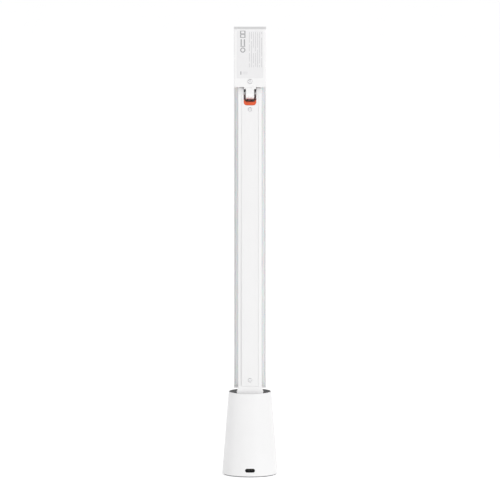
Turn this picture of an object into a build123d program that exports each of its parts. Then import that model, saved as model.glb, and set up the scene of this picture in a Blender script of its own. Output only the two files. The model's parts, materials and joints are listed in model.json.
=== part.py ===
"""Folding rechargeable light bar on a cone base, folded against its arm, in millimetres.

+Z is up and the origin is the middle of the underside. The arm and the charging socket face -Y, and the
head swings out towards +Y about the pin at the arm's top.
"""

import os

from build123d import *

# ---- driving dimensions -------------------------------------------------------------------------------

overall_height = 420.0

base_height = 78.0
base_bottom_diameter = 52.0
base_top_diameter = 40.0
base_wall = 2.2
foot_pad_height = 1.0
cover_plate_thickness = 1.6
deck_thickness = 2.0
touch_panel_thickness = 1.2
rim_width = 0.75

cell_diameter = 18.0
cell_length = 65.0
board_thickness = 1.2
port_width = 8.94
port_height = 3.26
port_depth = 7.3
port_centre_height = 6.5
weight_height = 50.0

arm_width = 22.0
arm_thickness = 12.0
arm_setback = 14.6
arm_wall = 2.0
arm_edge_radius = 1.6
arm_flare = 1.7
arm_flare_height = 6.0
arm_cover_width = 15.7
arm_cover_thickness = 1.6
spine_width = 12.0
spine_thickness = 1.5

head_width = 30.0
head_thickness = 10.0
head_wall = 1.6
head_lift = 3.6
tail_height = 54.4
tail_edge_radius = 1.2
diffuser_thickness = 1.6
fold_gap = 0.6

slot_width = 11.8
slot_wall = 1.0
slot_depth_below_pin = 10.8
slot_corner_radius = 3.0
tongue_width = 7.7
tongue_shoulder = 2.0
liner_thickness = 2.9
pin_diameter = 4.0
cheek_thickness = 1.2
washer_thickness = 0.5
nut_thickness = 1.1
nut_width = 5.5

arm_screw_inset_low = 12.3
arm_screw_inset_high = 3.6
tail_screw_height = 5.4
tail_boss_radius = 2.3
tail_screw_sink = 1.0
tail_bore_gap = 0.4
arm_screw_sink = 0.9
arm_bore_gap = 0.2

# head diameter, head height and shank diameter of each kind of screw
case_screw_size = (4.2, 0.9, 1.96)
board_screw_size = (3.0, 1.0, 1.5)
deck_screw_size = (4.4, 1.2, 1.76)
foot_screw_size = (4.0, 1.4, 1.76)
arm_screw_size = (3.6, 0.7, 1.5)
spine_screw_size = (4.6, 1.4, 2.16)
bracket_screw_size = (3.4, 0.9, 1.9)
tail_screw_size = (4.0, 0.8, 2.2)
tongue_screw_size = (4.4, 1.5, 1.94)
driver_screw_size = (3.2, 1.0, 1.46)

# ---- clearances ---------------------------------------------------------------------------------------

fit_gap = 0.15
running_gap = 0.05
loose_gap = 0.3
hinge_gap = 0.3

# ---- places worked out from them ----------------------------------------------------------------------

base_cone_height = base_height - foot_pad_height


def outer_radius(height):
    """Returns the radius of the cone's outside at a height above the floor."""
    share = (height - foot_pad_height) / base_cone_height
    return (base_bottom_diameter + (base_top_diameter - base_bottom_diameter) * share) / 2


def inner_radius(height):
    """Returns the radius of the cone's inside at a height above the floor."""
    return outer_radius(height) - base_wall


panel_radius = base_top_diameter / 2 - rim_width - fit_gap
deck_top = base_height - touch_panel_thickness
deck_bottom = deck_top - deck_thickness

cover_top = foot_pad_height + cover_plate_thickness
boss_radius = 2.8
boss_top = cover_top + 9.4
boss_ring = inner_radius(boss_top) - boss_radius + 0.8

board_top = port_centre_height - port_height / 2
board_bottom = board_top - board_thickness
board_radius = boss_ring - boss_radius - 0.6
component_height = 2.4

arm_rear = -arm_setback
arm_front = arm_rear + arm_thickness
pin_y = arm_rear + arm_thickness / 2
arm_top = overall_height - tail_height - hinge_gap
pin_z = arm_top - arm_thickness / 2
arm_half = arm_width / 2
slot_half = slot_width / 2
slot_bottom = pin_z - slot_depth_below_pin

cheek_inner = slot_half + slot_wall + 0.1
cheek_outer = cheek_inner + cheek_thickness
washer_outer = cheek_outer + washer_thickness
nut_outer = washer_outer + nut_thickness
pocket_outer = nut_outer + loose_gap
pocket_half_depth = nut_width / 2 / 0.866 + 0.14
cheek_half_depth = 2.9

cavity_half = cheek_outer + 0.2
cavity_rear = pin_y - pocket_half_depth
cavity_front = arm_front - arm_wall
cavity_top = slot_bottom - 2.4
cover_seat = arm_rear + arm_cover_thickness
ledge_half = arm_cover_width / 2 - 0.95
arm_screw_low = base_height + arm_screw_inset_low
arm_screw_high = slot_bottom - arm_screw_inset_high
arm_cover_low = base_height + arm_flare_height + 0.3
arm_cover_high = pin_z - 0.6
arm_boss_radius = 2.2

spine_front = pin_y + 1.0
spine_rear = spine_front - spine_thickness
spine_low = 20.0
web_high = arm_screw_high - arm_boss_radius - 0.9
web_low = web_high - 15.5
web_rear = spine_rear - spine_thickness

weight_low = board_top + component_height + 0.65
weight_high = weight_low + weight_height
weight_step = boss_top + 1.0
seat_thickness = 0.6
tab_thickness = 0.3
cell_radius = cell_diameter / 2
cell_bore_radius = cell_radius + loose_gap
cell_y = spine_front + 3.0 + cell_bore_radius
cell_low = weight_low + seat_thickness + tab_thickness
cell_high = cell_low + cell_length
post_radius = 3.0
post_x = cell_bore_radius + post_radius + loose_gap
spine_screw_heights = (weight_low + 20.0, weight_low + 40.0)

ribbon_width = 5.0
ribbon_thickness = 0.3
ribbon_y = cell_y + cell_radius + 2.3

head_back = arm_front + fold_gap
head_front = head_back + head_thickness
head_half = head_width / 2
head_low = base_height + head_lift
tail_low = arm_top + hinge_gap
cap_top = head_low + head_wall
channel_half = head_half - head_wall - 0.2
channel_floor = head_front - head_wall
diffuser_half = head_half - 1.0
diffuser_front = head_back + diffuser_thickness
tail_cover_seat = arm_rear + head_wall
tail_floor = tail_low + head_wall
tail_screw_z = tail_low + tail_screw_height

tongue_radius = arm_thickness / 2 - 0.4
tongue_half = tongue_width / 2
plate_rear = pin_y + 2.0
plate_front = plate_rear + 3.0
plate_half = 8.0
plate_high = tail_low + 18.4
neck_rear = pin_y - 4.2
neck_front = pin_y + 4.0
neck_high = tail_low + 3.0
tongue_screw_x = 5.0
tongue_screw_z = tail_low + 12.4

led_board_half = 6.2
led_board_thickness = 1.0
led_board_face = channel_floor - led_board_thickness
led_board_low = cap_top + 5.0
led_board_high = tail_floor + 3.0
led_row_high = tail_low - 5.0
led_size = 3.0
led_height = 0.7
led_pitch = 9.0
led_count = int((led_row_high - led_board_low - 4.0) / led_pitch)
led_row_middle = (led_board_low + led_row_high) / 2

driver_low = plate_high + 3.0
driver_high = overall_height - 6.0
driver_half = 11.0
driver_rear = diffuser_front - board_thickness
driver_boss_x = 8.5
driver_boss_z = (driver_low + driver_high) / 2

wire_radius = 0.65
arm_wire_x = spine_width / 2 + wire_radius + 0.5
arm_wire_y = (spine_front + spine_rear) / 2


def make_screws(label, places, size, shank_length):
    """Returns cross-head screws, each head standing on one of the planes with its shank behind it."""
    head_diameter, head_height, shank_diameter = size
    drive_width = head_diameter * 0.16
    with BuildPart() as screws:
        for place in places:
            with BuildSketch(place):
                Circle(head_diameter / 2)
            extrude(amount=head_height)
            with BuildSketch(place):
                Circle(shank_diameter / 2)
            extrude(amount=-shank_length)
            with BuildSketch(place.offset(head_height)):
                Rectangle(head_diameter * 0.6, drive_width)
                Rectangle(drive_width, head_diameter * 0.6)
            extrude(amount=-head_height * 0.55, mode=Mode.SUBTRACT)
    screws.part.label = label
    return screws.part


def rear_plane(x, y, z):
    """Returns a plane that faces -Y, with its origin at a point."""
    return Plane(origin=(x, y, z), x_dir=(1, 0, 0), z_dir=(0, -1, 0))


def under_plane(x, y, z):
    """Returns a plane that faces the floor, with its origin at a point."""
    return Plane(origin=(x, y, z), x_dir=(1, 0, 0), z_dir=(0, 0, -1))


def top_plane(x, y, z):
    """Returns a level plane that faces up, with its origin at a point."""
    return Plane(origin=(x, y, z))


# ---- base ---------------------------------------------------------------------------------------------

window_half_depth = (cavity_front - cavity_rear) / 2
window_y = (cavity_front + cavity_rear) / 2
land_half = arm_half + 0.6
land_front = arm_front - 0.4
land_reach = panel_radius + fit_gap
boss_angles = (90, 210, 330)
foot_screw_x = (cavity_half + arm_half + arm_flare) / 2 - 0.2
post_points = [(-post_x, cell_y), (post_x, cell_y)]
foot_screw_points = [(-foot_screw_x, pin_y), (foot_screw_x, pin_y)]
sensor_radius = 9.0
sensor_y = ribbon_y - sensor_radius + 0.4
sensor_thickness = 0.4
lens_points = [(x, ribbon_y - 2.6) for x in (-3.6, -1.2, 1.2, 3.6)]

with BuildPart() as base_shell:
    with BuildSketch(Plane.XZ):
        with BuildLine():
            Polyline(
                (0, deck_top),
                (panel_radius + fit_gap, deck_top),
                (panel_radius + fit_gap, base_height),
                (outer_radius(base_height), base_height),
                (outer_radius(foot_pad_height), foot_pad_height),
                (inner_radius(foot_pad_height), foot_pad_height),
                (inner_radius(deck_bottom), deck_bottom),
                (0, deck_bottom),
                close=True,
            )
        make_face()
    revolve(axis=Axis.Z)
    rim_edges = base_shell.edges().filter_by(GeomType.CIRCLE).group_by(SortBy.RADIUS)[-1]
    fillet(rim_edges, 0.6)
    top_circles = base_shell.edges().filter_by(GeomType.CIRCLE).group_by(Axis.Z)[-1]
    top_edges = top_circles.sort_by(SortBy.RADIUS)[-1]
    fillet(top_edges, 0.5)
    with BuildSketch(Plane.XY.offset(deck_top)):
        with Locations((0, (land_front - land_reach) / 2)):
            Rectangle(2 * land_half, land_front + land_reach)
        Circle(land_reach, mode=Mode.INTERSECT)
    extrude(amount=touch_panel_thickness)
    with BuildSketch(Plane.XY.offset(cover_top)):
        with PolarLocations(boss_ring, 3, start_angle=boss_angles[0]):
            Circle(boss_radius)
    extrude(amount=boss_top - cover_top)
    with BuildSketch(Plane.XY.offset(cover_top)):
        with PolarLocations(boss_ring, 3, start_angle=boss_angles[0]):
            Circle(1.0)
    extrude(amount=8.0, mode=Mode.SUBTRACT)
    with BuildSketch(Plane.XY.offset(base_height)):
        with Locations((0, window_y)):
            Rectangle(2 * cavity_half, 2 * window_half_depth)
        with Locations(*foot_screw_points):
            Circle(1.1)
        with Locations(*post_points):
            Circle(1.2)
        with Locations((0, ribbon_y)):
            Rectangle(ribbon_width + 1.0, ribbon_thickness + 0.8)
    extrude(amount=-(base_height - deck_bottom), mode=Mode.SUBTRACT)
    with BuildSketch(Plane.XY.offset(deck_top)):
        with Locations(*post_points):
            Circle(2.4)
    extrude(amount=-1.3, mode=Mode.SUBTRACT)
    with BuildSketch(Plane.XY.offset(deck_top)):
        with Locations((0, sensor_y)):
            Circle(sensor_radius + fit_gap)
    extrude(amount=-sensor_thickness, mode=Mode.SUBTRACT)
    with BuildSketch(Plane.XZ.offset(outer_radius(0) - base_wall - 4.0)):
        with Locations((0, port_centre_height)):
            SlotOverall(port_width + 2 * fit_gap, port_height + 2 * fit_gap)
    extrude(amount=base_wall + 8.0, mode=Mode.SUBTRACT)
base_shell.part.label = "base_shell"

cover_radius = inner_radius(cover_top) - fit_gap
standoff_ring = board_radius - 3.2
standoff_angles = (30, 150, 270)
tab_front = inner_radius(board_top) - 1.2
tab_depth = tab_front - board_radius + 4.0

with BuildPart() as base_bottom_cover:
    with BuildSketch(Plane.XY.offset(foot_pad_height)):
        Circle(cover_radius)
    extrude(amount=cover_plate_thickness)
    with BuildSketch(Plane.XY.offset(cover_top)):
        with PolarLocations(standoff_ring, 3, start_angle=standoff_angles[0]):
            Circle(2.2)
    extrude(amount=board_bottom - cover_top)
    with BuildSketch(Plane.XY.offset(board_bottom)):
        with PolarLocations(standoff_ring, 3, start_angle=standoff_angles[0]):
            Circle(0.8)
    extrude(amount=-(board_bottom - cover_top) - 0.6, mode=Mode.SUBTRACT)
    with BuildSketch(Plane.XY.offset(foot_pad_height)):
        with PolarLocations(boss_ring, 3, start_angle=boss_angles[0]):
            Circle(1.2)
    extrude(amount=cover_plate_thickness, mode=Mode.SUBTRACT)
    with BuildSketch(Plane.XY.offset(foot_pad_height)):
        with PolarLocations(boss_ring, 3, start_angle=boss_angles[0]):
            Circle(2.3)
    extrude(amount=1.0, mode=Mode.SUBTRACT)
base_bottom_cover.part.label = "base_bottom_cover"

with BuildPart() as foot_pad:
    with BuildSketch(Plane.XY):
        Circle(outer_radius(0) - 1.2)
        Circle(8.0, mode=Mode.SUBTRACT)
    extrude(amount=foot_pad_height)
    pad_rim = foot_pad.edges().group_by(Axis.Z)[0].sort_by(SortBy.RADIUS)[-1]
    fillet(pad_rim, 0.4)
foot_pad.part.label = "foot_pad"

with BuildPart() as counterweight:
    with BuildSketch(Plane.XZ):
        with BuildLine():
            Polyline(
                (0, weight_low),
                (board_radius - 0.7, weight_low),
                (board_radius - 0.7, weight_step),
                (inner_radius(weight_step) - 2.0, weight_step),
                (inner_radius(weight_high) - 2.0, weight_high),
                (0, weight_high),
                close=True,
            )
        make_face()
    revolve(axis=Axis.Z)
    with BuildSketch(Plane.XY.offset(weight_high)):
        with Locations(*post_points):
            Circle(post_radius)
    extrude(amount=deck_bottom - weight_high)
    with BuildSketch(Plane.XY.offset(weight_low + seat_thickness)):
        with Locations((0, cell_y)):
            Circle(cell_bore_radius)
    extrude(amount=overall_height, mode=Mode.SUBTRACT)
    with BuildSketch(Plane.XY.offset(weight_low)):
        with Locations((0, spine_front - base_bottom_diameter / 2)):
            Rectangle(base_bottom_diameter, base_bottom_diameter)
    extrude(amount=weight_height, mode=Mode.SUBTRACT)
    with BuildSketch(Plane.XY.offset(weight_low)):
        with Locations((0, ribbon_y + base_bottom_diameter / 2 - 0.6)):
            Rectangle(ribbon_width + 2.0, base_bottom_diameter)
    extrude(amount=weight_height, mode=Mode.SUBTRACT)
    with BuildSketch(Plane.XY.offset(deck_bottom)):
        with Locations(*post_points):
            Circle(0.9)
    extrude(amount=-9.0, mode=Mode.SUBTRACT)
    for height in spine_screw_heights:
        with BuildSketch(rear_plane(0, spine_front, height)):
            Circle(1.1)
        extrude(amount=-2.4, mode=Mode.SUBTRACT)
counterweight.part.label = "counterweight"

with BuildPart() as battery_cell:
    with BuildSketch(Plane.XY.offset(cell_low)):
        with Locations((0, cell_y)):
            Circle(cell_radius)
    extrude(amount=cell_length)
    fillet(battery_cell.edges().filter_by(GeomType.CIRCLE), 0.8)
battery_cell.part.label = "battery_cell"

with BuildPart() as cell_tabs:
    for tab_low in (cell_low - tab_thickness, cell_high):
        with BuildSketch(Plane.XY.offset(tab_low)):
            with Locations((0, cell_y)):
                Rectangle(6.0, 14.0)
        extrude(amount=tab_thickness)
cell_tabs.part.label = "cell_tabs"

with BuildPart() as cell_pad:
    with BuildSketch(Plane.XY.offset(cell_high + tab_thickness)):
        with Locations((0, cell_y)):
            Circle(cell_radius - 1.5)
    extrude(amount=deck_bottom - cell_high - tab_thickness)
cell_pad.part.label = "cell_pad"

port_mouth = -(outer_radius(port_centre_height) - 0.7)

with BuildPart() as main_board:
    with BuildSketch(Plane.XY.offset(board_bottom)):
        Circle(board_radius)
        with Locations((0, tab_depth / 2 - tab_front)):
            Rectangle(12.0, tab_depth)
        with PolarLocations(standoff_ring, 3, start_angle=standoff_angles[0]):
            Circle(1.0, mode=Mode.SUBTRACT)
    extrude(amount=board_thickness)
main_board.part.label = "main_board"

with BuildPart() as board_components:
    with BuildSketch(Plane.XY.offset(board_top)):
        with Locations((-7.5, 2.0)):
            Rectangle(6.0, 6.0)
        with Locations((3.0, 3.5)):
            Rectangle(4.0, 5.0)
        with Locations((-2.5, -5.5)):
            Rectangle(5.0, 2.6)
    extrude(amount=1.2)
    with BuildSketch(Plane.XY.offset(board_top)):
        with Locations((9.5, -1.5)):
            Rectangle(5.0, 5.0)
        with Locations((0, ribbon_y)):
            Rectangle(ribbon_width + 1.4, 1.7)
            Rectangle(ribbon_width + 0.2, ribbon_thickness + 0.1, mode=Mode.SUBTRACT)
        with GridLocations(2.2, 2.6, 3, 2):
            Rectangle(1.2, 0.8)
    extrude(amount=component_height)
board_components.part.label = "board_components"

with BuildPart() as usb_c_socket:
    with BuildSketch(Plane.XZ.offset(-port_mouth)):
        with Locations((0, port_centre_height)):
            SlotOverall(port_width, port_height)
    extrude(amount=-port_depth)
    with BuildSketch(Plane.XZ.offset(-port_mouth)):
        with Locations((0, port_centre_height)):
            SlotOverall(port_width - 0.6, port_height - 0.6)
    extrude(amount=-(port_depth - 1.0), mode=Mode.SUBTRACT)
    with BuildSketch(Plane.XZ.offset(-port_mouth - 1.0)):
        with Locations((0, port_centre_height)):
            Rectangle(6.7, 0.7)
    extrude(amount=-(port_depth - 1.6))
usb_c_socket.part.label = "usb_c_socket"

with BuildPart() as touch_panel:
    with BuildSketch(Plane.XY.offset(deck_top)):
        Circle(panel_radius)
        with Locations((0, (land_front + fit_gap - land_reach) / 2)):
            Rectangle(2 * (land_half + fit_gap), land_front + fit_gap + land_reach, mode=Mode.SUBTRACT)
        with Locations(*lens_points):
            Circle(0.6, mode=Mode.SUBTRACT)
    extrude(amount=touch_panel_thickness)
touch_panel.part.label = "touch_panel"

with BuildPart() as indicator_lenses:
    with BuildSketch(Plane.XY.offset(deck_top)):
        with Locations(*lens_points):
            Circle(0.55)
    extrude(amount=touch_panel_thickness - 0.05)
indicator_lenses.part.label = "indicator_lenses"

with BuildPart() as touch_sensor_board:
    with BuildSketch(Plane.XY.offset(deck_top - sensor_thickness)):
        with Locations((0, sensor_y)):
            Circle(sensor_radius)
    extrude(amount=sensor_thickness)
    with BuildSketch(Plane.XY.offset(deck_top)):
        with Locations((0, ribbon_y + 0.8)):
            Rectangle(ribbon_width + 1.0, ribbon_thickness + 1.8)
    extrude(amount=-sensor_thickness, mode=Mode.SUBTRACT)
touch_sensor_board.part.label = "touch_sensor_board"

with BuildPart() as sensor_ribbon:
    with BuildSketch(Plane.XY.offset(board_top)):
        with Locations((0, ribbon_y)):
            Rectangle(ribbon_width, ribbon_thickness)
    extrude(amount=deck_top - board_top)
sensor_ribbon.part.label = "sensor_ribbon"

cover_screw_places = [
    under_plane(*Vector(boss_ring, 0, foot_pad_height + 1.0).rotate(Axis.Z, angle)) for angle in boss_angles
]
base_cover_screws = make_screws("base_cover_screws", cover_screw_places, case_screw_size, 7.0)

board_screw_places = [
    top_plane(*Vector(standoff_ring, 0, board_top).rotate(Axis.Z, angle)) for angle in standoff_angles
]
board_screws = make_screws("board_screws", board_screw_places, board_screw_size, board_thickness + 0.9)

deck_screw_places = [top_plane(x, y, deck_top - 1.3) for x, y in post_points]
deck_screws = make_screws("deck_screws", deck_screw_places, deck_screw_size, 7.0)

foot_screw_places = [under_plane(x, y, deck_bottom) for x, y in foot_screw_points]
foot_screws = make_screws("foot_screws", foot_screw_places, foot_screw_size, base_height + 2.5 - deck_bottom)

# ---- arm ----------------------------------------------------------------------------------------------

flare_top = base_height + arm_flare_height
arm_middle = (pin_z + base_height) / 2

with BuildSketch(Plane.XZ.offset(-pin_y)) as hinge_slot:
    with Locations((0, slot_bottom + overall_height / 2)):
        RectangleRounded(slot_width, overall_height, slot_corner_radius)

with BuildPart() as arm_shell:
    with BuildSketch(Plane.YZ):
        with Locations((pin_y, arm_middle)):
            Rectangle(arm_thickness, pin_z - base_height)
        with Locations((pin_y, pin_z)):
            Circle(arm_thickness / 2)
    extrude(amount=arm_half, both=True)
    side_edges = arm_shell.edges().group_by(Axis.X)[0] + arm_shell.edges().group_by(Axis.X)[-1]
    fillet([edge for edge in side_edges if edge.center().Z > base_height + 1.0], arm_edge_radius)
    with BuildSketch(Plane.XY.offset(base_height)):
        with Locations((0, pin_y)):
            RectangleRounded(arm_width + 2 * arm_flare, arm_thickness + arm_flare, arm_edge_radius + 1.0)
        Circle(panel_radius - 0.2, mode=Mode.INTERSECT)
    with BuildSketch(Plane.XY.offset(flare_top)):
        with Locations((0, pin_y)):
            RectangleRounded(arm_width - 0.02, arm_thickness - 0.02, arm_edge_radius)
    loft()
    extrude(hinge_slot.sketch, amount=arm_thickness, both=True, mode=Mode.SUBTRACT)
    with BuildSketch(Plane.XY.offset(base_height)):
        with Locations((0, window_y)):
            Rectangle(2 * cavity_half, 2 * window_half_depth)
    extrude(amount=cavity_top - base_height, mode=Mode.SUBTRACT)
    with BuildSketch(rear_plane(0, arm_rear, (arm_cover_low + arm_cover_high) / 2)):
        RectangleRounded(arm_cover_width + 2 * fit_gap, arm_cover_high - arm_cover_low + 2 * fit_gap, 1.2)
    extrude(amount=-arm_cover_thickness, mode=Mode.SUBTRACT)
    with BuildSketch(rear_plane(0, arm_rear, (arm_cover_low + cavity_top) / 2)):
        Rectangle(2 * ledge_half, cavity_top - arm_cover_low - 4.0)
    extrude(amount=cavity_rear - arm_rear, dir=(0, 1, 0), mode=Mode.SUBTRACT)
    for side in (-1, 1):
        with BuildSketch(Plane.YZ.offset(side * (cheek_inner - 0.1))):
            with Locations((pin_y, (web_low + pin_z) / 2)):
                Rectangle(2 * pocket_half_depth, pin_z - web_low)
            with Locations((pin_y, pin_z)):
                Circle(pocket_half_depth)
        extrude(amount=side * (pocket_outer - cheek_inner + 0.1), mode=Mode.SUBTRACT)
    with BuildSketch(Plane.YZ):
        with Locations((pin_y, pin_z)):
            Circle(pin_diameter / 2 + loose_gap)
    extrude(amount=cheek_inner, both=True, mode=Mode.SUBTRACT)
    for height in (arm_screw_low, arm_screw_high):
        with BuildSketch(rear_plane(0, cover_seat, height)):
            Circle(arm_boss_radius)
        extrude(amount=-(cavity_front - cover_seat))
        with BuildSketch(rear_plane(0, cover_seat, height)):
            Circle(0.8)
        extrude(amount=-6.0, mode=Mode.SUBTRACT)
    with BuildSketch(Plane.XY.offset(base_height)):
        with Locations(*foot_screw_points):
            Circle(0.88)
    extrude(amount=2.6, mode=Mode.SUBTRACT)
arm_shell.part.label = "arm_shell"

with BuildPart() as arm_cover:
    with BuildSketch(rear_plane(0, arm_rear, (arm_cover_low + arm_cover_high) / 2)):
        RectangleRounded(arm_cover_width, arm_cover_high - arm_cover_low, 1.1)
    extrude(amount=-arm_cover_thickness)
    chamfer(arm_cover.faces().sort_by(Axis.Y)[0].edges(), 0.15)
    extrude(hinge_slot.sketch, amount=arm_thickness, both=True, mode=Mode.SUBTRACT)
    for height in (arm_screw_low, arm_screw_high):
        with BuildSketch(rear_plane(0, arm_rear, height)):
            Circle(arm_screw_size[0] / 2 + arm_bore_gap)
        extrude(amount=-arm_screw_sink, mode=Mode.SUBTRACT)
        with BuildSketch(rear_plane(0, arm_rear, height)):
            Circle(0.95)
        extrude(amount=-arm_cover_thickness, mode=Mode.SUBTRACT)
arm_cover.part.label = "arm_cover"

arm_screw_face = arm_rear + arm_screw_sink
arm_screw_places = [rear_plane(0, arm_screw_face, height) for height in (arm_screw_low, arm_screw_high)]
arm_screws = make_screws("arm_screws", arm_screw_places, arm_screw_size, 6.0)

with BuildPart() as arm_spine:
    with BuildSketch(Plane.XY.offset(spine_low)):
        with Locations((0, (spine_front + spine_rear) / 2)):
            Rectangle(spine_width, spine_thickness)
    extrude(amount=web_high - spine_low)
    for height in spine_screw_heights:
        with BuildSketch(rear_plane(0, spine_rear, height)):
            Circle(1.3)
        extrude(amount=-spine_thickness, mode=Mode.SUBTRACT)
    with BuildSketch(rear_plane(0, spine_rear, arm_screw_low)):
        Circle(arm_boss_radius + 0.4)
    extrude(amount=-spine_thickness, mode=Mode.SUBTRACT)
    for x in (-3.5, 3.5):
        with BuildSketch(rear_plane(x, spine_rear, (web_low + web_high) / 2)):
            Circle(0.98)
        extrude(amount=-spine_thickness, mode=Mode.SUBTRACT)
arm_spine.part.label = "arm_spine"

spine_screw_places = [rear_plane(0, spine_rear, height) for height in spine_screw_heights]
spine_screws = make_screws("spine_screws", spine_screw_places, spine_screw_size, spine_thickness + 2.0)

with BuildPart() as hinge_bracket:
    with BuildSketch(rear_plane(0, spine_rear, (web_low + web_high) / 2)):
        Rectangle(2 * cheek_outer, web_high - web_low)
    extrude(amount=spine_thickness)
    for side in (-1, 1):
        with BuildSketch(Plane.YZ.offset(side * cheek_inner)):
            with Locations((pin_y, (web_low + pin_z) / 2)):
                Rectangle(2 * cheek_half_depth, pin_z - web_low)
            with Locations((pin_y, pin_z)):
                Circle(cheek_half_depth)
            with Locations((pin_y, pin_z)):
                Circle(pin_diameter / 2 + running_gap, mode=Mode.SUBTRACT)
        extrude(amount=side * cheek_thickness)
    for x in (-3.5, 3.5):
        with BuildSketch(rear_plane(x, web_rear, (web_low + web_high) / 2)):
            Circle(1.1)
        extrude(amount=-spine_thickness, mode=Mode.SUBTRACT)
hinge_bracket.part.label = "hinge_bracket"

bracket_screw_places = [rear_plane(x, web_rear, (web_low + web_high) / 2) for x in (-3.5, 3.5)]
bracket_screw_length = 2 * spine_thickness + 0.8
bracket_screws = make_screws("bracket_screws", bracket_screw_places, bracket_screw_size, bracket_screw_length)

with BuildPart() as arm_wires:
    with BuildSketch(Plane.XY.offset(board_top)):
        with Locations((-arm_wire_x, arm_wire_y), (arm_wire_x, arm_wire_y)):
            Circle(wire_radius)
    extrude(amount=web_low - 1.0 - board_top)
arm_wires.part.label = "arm_wires"

liner_half = slot_half - 0.05
liner_top = slot_bottom + 0.05 + liner_thickness

with BuildPart() as slot_liner:
    with BuildSketch(Plane.XZ.offset(-pin_y)):
        with Locations((0, slot_bottom + 0.05 + 5.0)):
            RectangleRounded(2 * liner_half, 10.0, slot_corner_radius)
        with Locations((0, liner_top + 5.0)):
            RectangleRounded(2 * liner_half - 1.2, 10.0, slot_corner_radius - 0.4, mode=Mode.SUBTRACT)
        with Locations((0, liner_top + 2.0 + 5.0)):
            Rectangle(slot_width + 1.0, 10.0, mode=Mode.SUBTRACT)
    extrude(amount=arm_thickness / 2 - 0.4, both=True)
slot_liner.part.label = "slot_liner"

# ---- head ---------------------------------------------------------------------------------------------

with BuildPart() as head_housing:
    with BuildSketch(Plane.YZ):
        with BuildLine():
            Polyline(
                (head_back, cap_top),
                (head_front, cap_top),
                (head_front, overall_height),
                (tail_cover_seat, overall_height),
                (tail_cover_seat, tail_low),
                (head_back, tail_low),
                close=True,
            )
        make_face()
    extrude(amount=head_half, both=True)
    front_edges = head_housing.edges().filter_by(Axis.Z).group_by(Axis.Y)[-1]
    fillet(front_edges, 1.6)
    with BuildSketch(Plane.XY.offset(cap_top)):
        with Locations((0, (head_back + channel_floor) / 2)):
            Rectangle(2 * channel_half, channel_floor - head_back)
        with Locations((0, (head_back + diffuser_front) / 2)):
            Rectangle(2 * diffuser_half, diffuser_thickness)
    extrude(amount=tail_low - cap_top, mode=Mode.SUBTRACT)
    with BuildSketch(Plane.XY.offset(tail_floor)):
        with Locations((0, (tail_cover_seat + channel_floor) / 2)):
            Rectangle(2 * channel_half, channel_floor - tail_cover_seat)
    extrude(amount=overall_height - head_wall - tail_floor, mode=Mode.SUBTRACT)
    with BuildSketch(Plane.XY.offset(tail_low)):
        with Locations((0, (diffuser_front + 0.6 + channel_floor) / 2)):
            Rectangle(20.0, channel_floor - diffuser_front - 0.6)
        with Locations((0, (neck_rear + neck_front) / 2)):
            Rectangle(tongue_width + 0.3, neck_front - neck_rear + 0.3)
    extrude(amount=head_wall, mode=Mode.SUBTRACT)
    for x in (-tongue_screw_x, tongue_screw_x):
        with BuildSketch(rear_plane(x, plate_front, tongue_screw_z)):
            Circle(2.7)
            Circle(0.98, mode=Mode.SUBTRACT)
        extrude(amount=-(channel_floor - plate_front))
    for x in (-driver_boss_x, driver_boss_x):
        with BuildSketch(rear_plane(x, diffuser_front, driver_boss_z)):
            Circle(2.2)
            Circle(0.75, mode=Mode.SUBTRACT)
        extrude(amount=-(channel_floor - diffuser_front))
head_housing.part.label = "head_housing"

with BuildPart() as end_cap:
    with BuildSketch(Plane.XY.offset(head_low)):
        with Locations((0, (head_back + head_front) / 2)):
            Rectangle(head_width, head_thickness)
    extrude(amount=head_wall)
    fillet(end_cap.edges().filter_by(Axis.Z).group_by(Axis.Y)[-1], 1.6)
    fillet(end_cap.edges().group_by(Axis.Z)[0], 0.7)
    with BuildSketch(Plane.XY.offset(cap_top)):
        with Locations((0, (diffuser_front + 0.4 + channel_floor) / 2)):
            Rectangle(2 * (channel_half - fit_gap), channel_floor - diffuser_front - 0.4 - fit_gap)
            Rectangle(2 * channel_half - 4.0, channel_floor - diffuser_front - 3.0, mode=Mode.SUBTRACT)
    extrude(amount=3.0)
end_cap.part.label = "end_cap"

lip_depth = 2.5
lip_thickness = 1.0
tail_middle = (tail_low + overall_height) / 2
lip_middle = (tail_floor + overall_height - head_wall) / 2
lip_height = overall_height - head_wall - tail_floor - 2 * fit_gap
lip_width = 2 * (channel_half - fit_gap)

with BuildPart() as tail_cover:
    with BuildSketch(rear_plane(0, arm_rear, tail_middle)):
        Rectangle(head_width, tail_height)
    extrude(amount=-head_wall)
    rear_edges = tail_cover.faces().sort_by(Axis.Y)[0].edges()
    fillet([edge for edge in rear_edges if edge.center().Z > tail_low + 1.0], tail_edge_radius)
    with BuildSketch(rear_plane(0, tail_cover_seat, lip_middle)):
        Rectangle(lip_width, lip_height)
        Rectangle(lip_width - 2 * lip_thickness, lip_height - 2 * lip_thickness, mode=Mode.SUBTRACT)
        with Locations((0, tail_floor - lip_middle)):
            Rectangle(tongue_width + 4.0, 8.0, mode=Mode.SUBTRACT)
    extrude(amount=-lip_depth)
    with BuildSketch(rear_plane(0, tail_cover_seat, tail_screw_z)):
        Circle(tail_boss_radius)
    extrude(amount=-(plate_rear - tail_cover_seat))
    with BuildSketch(rear_plane(0, arm_rear, tail_screw_z)):
        Circle(tail_screw_size[0] / 2 + tail_bore_gap)
    extrude(amount=-tail_screw_sink, mode=Mode.SUBTRACT)
    with BuildSketch(rear_plane(0, arm_rear, tail_screw_z)):
        Circle(1.2)
    extrude(amount=-(plate_rear - arm_rear), mode=Mode.SUBTRACT)
tail_cover.part.label = "tail_cover"

tail_screw_places = [rear_plane(0, arm_rear + tail_screw_sink, tail_screw_z)]
tail_screw_length = plate_rear - arm_rear - tail_screw_sink + 2.4
tail_screw = make_screws("tail_screw", tail_screw_places, tail_screw_size, tail_screw_length)

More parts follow.
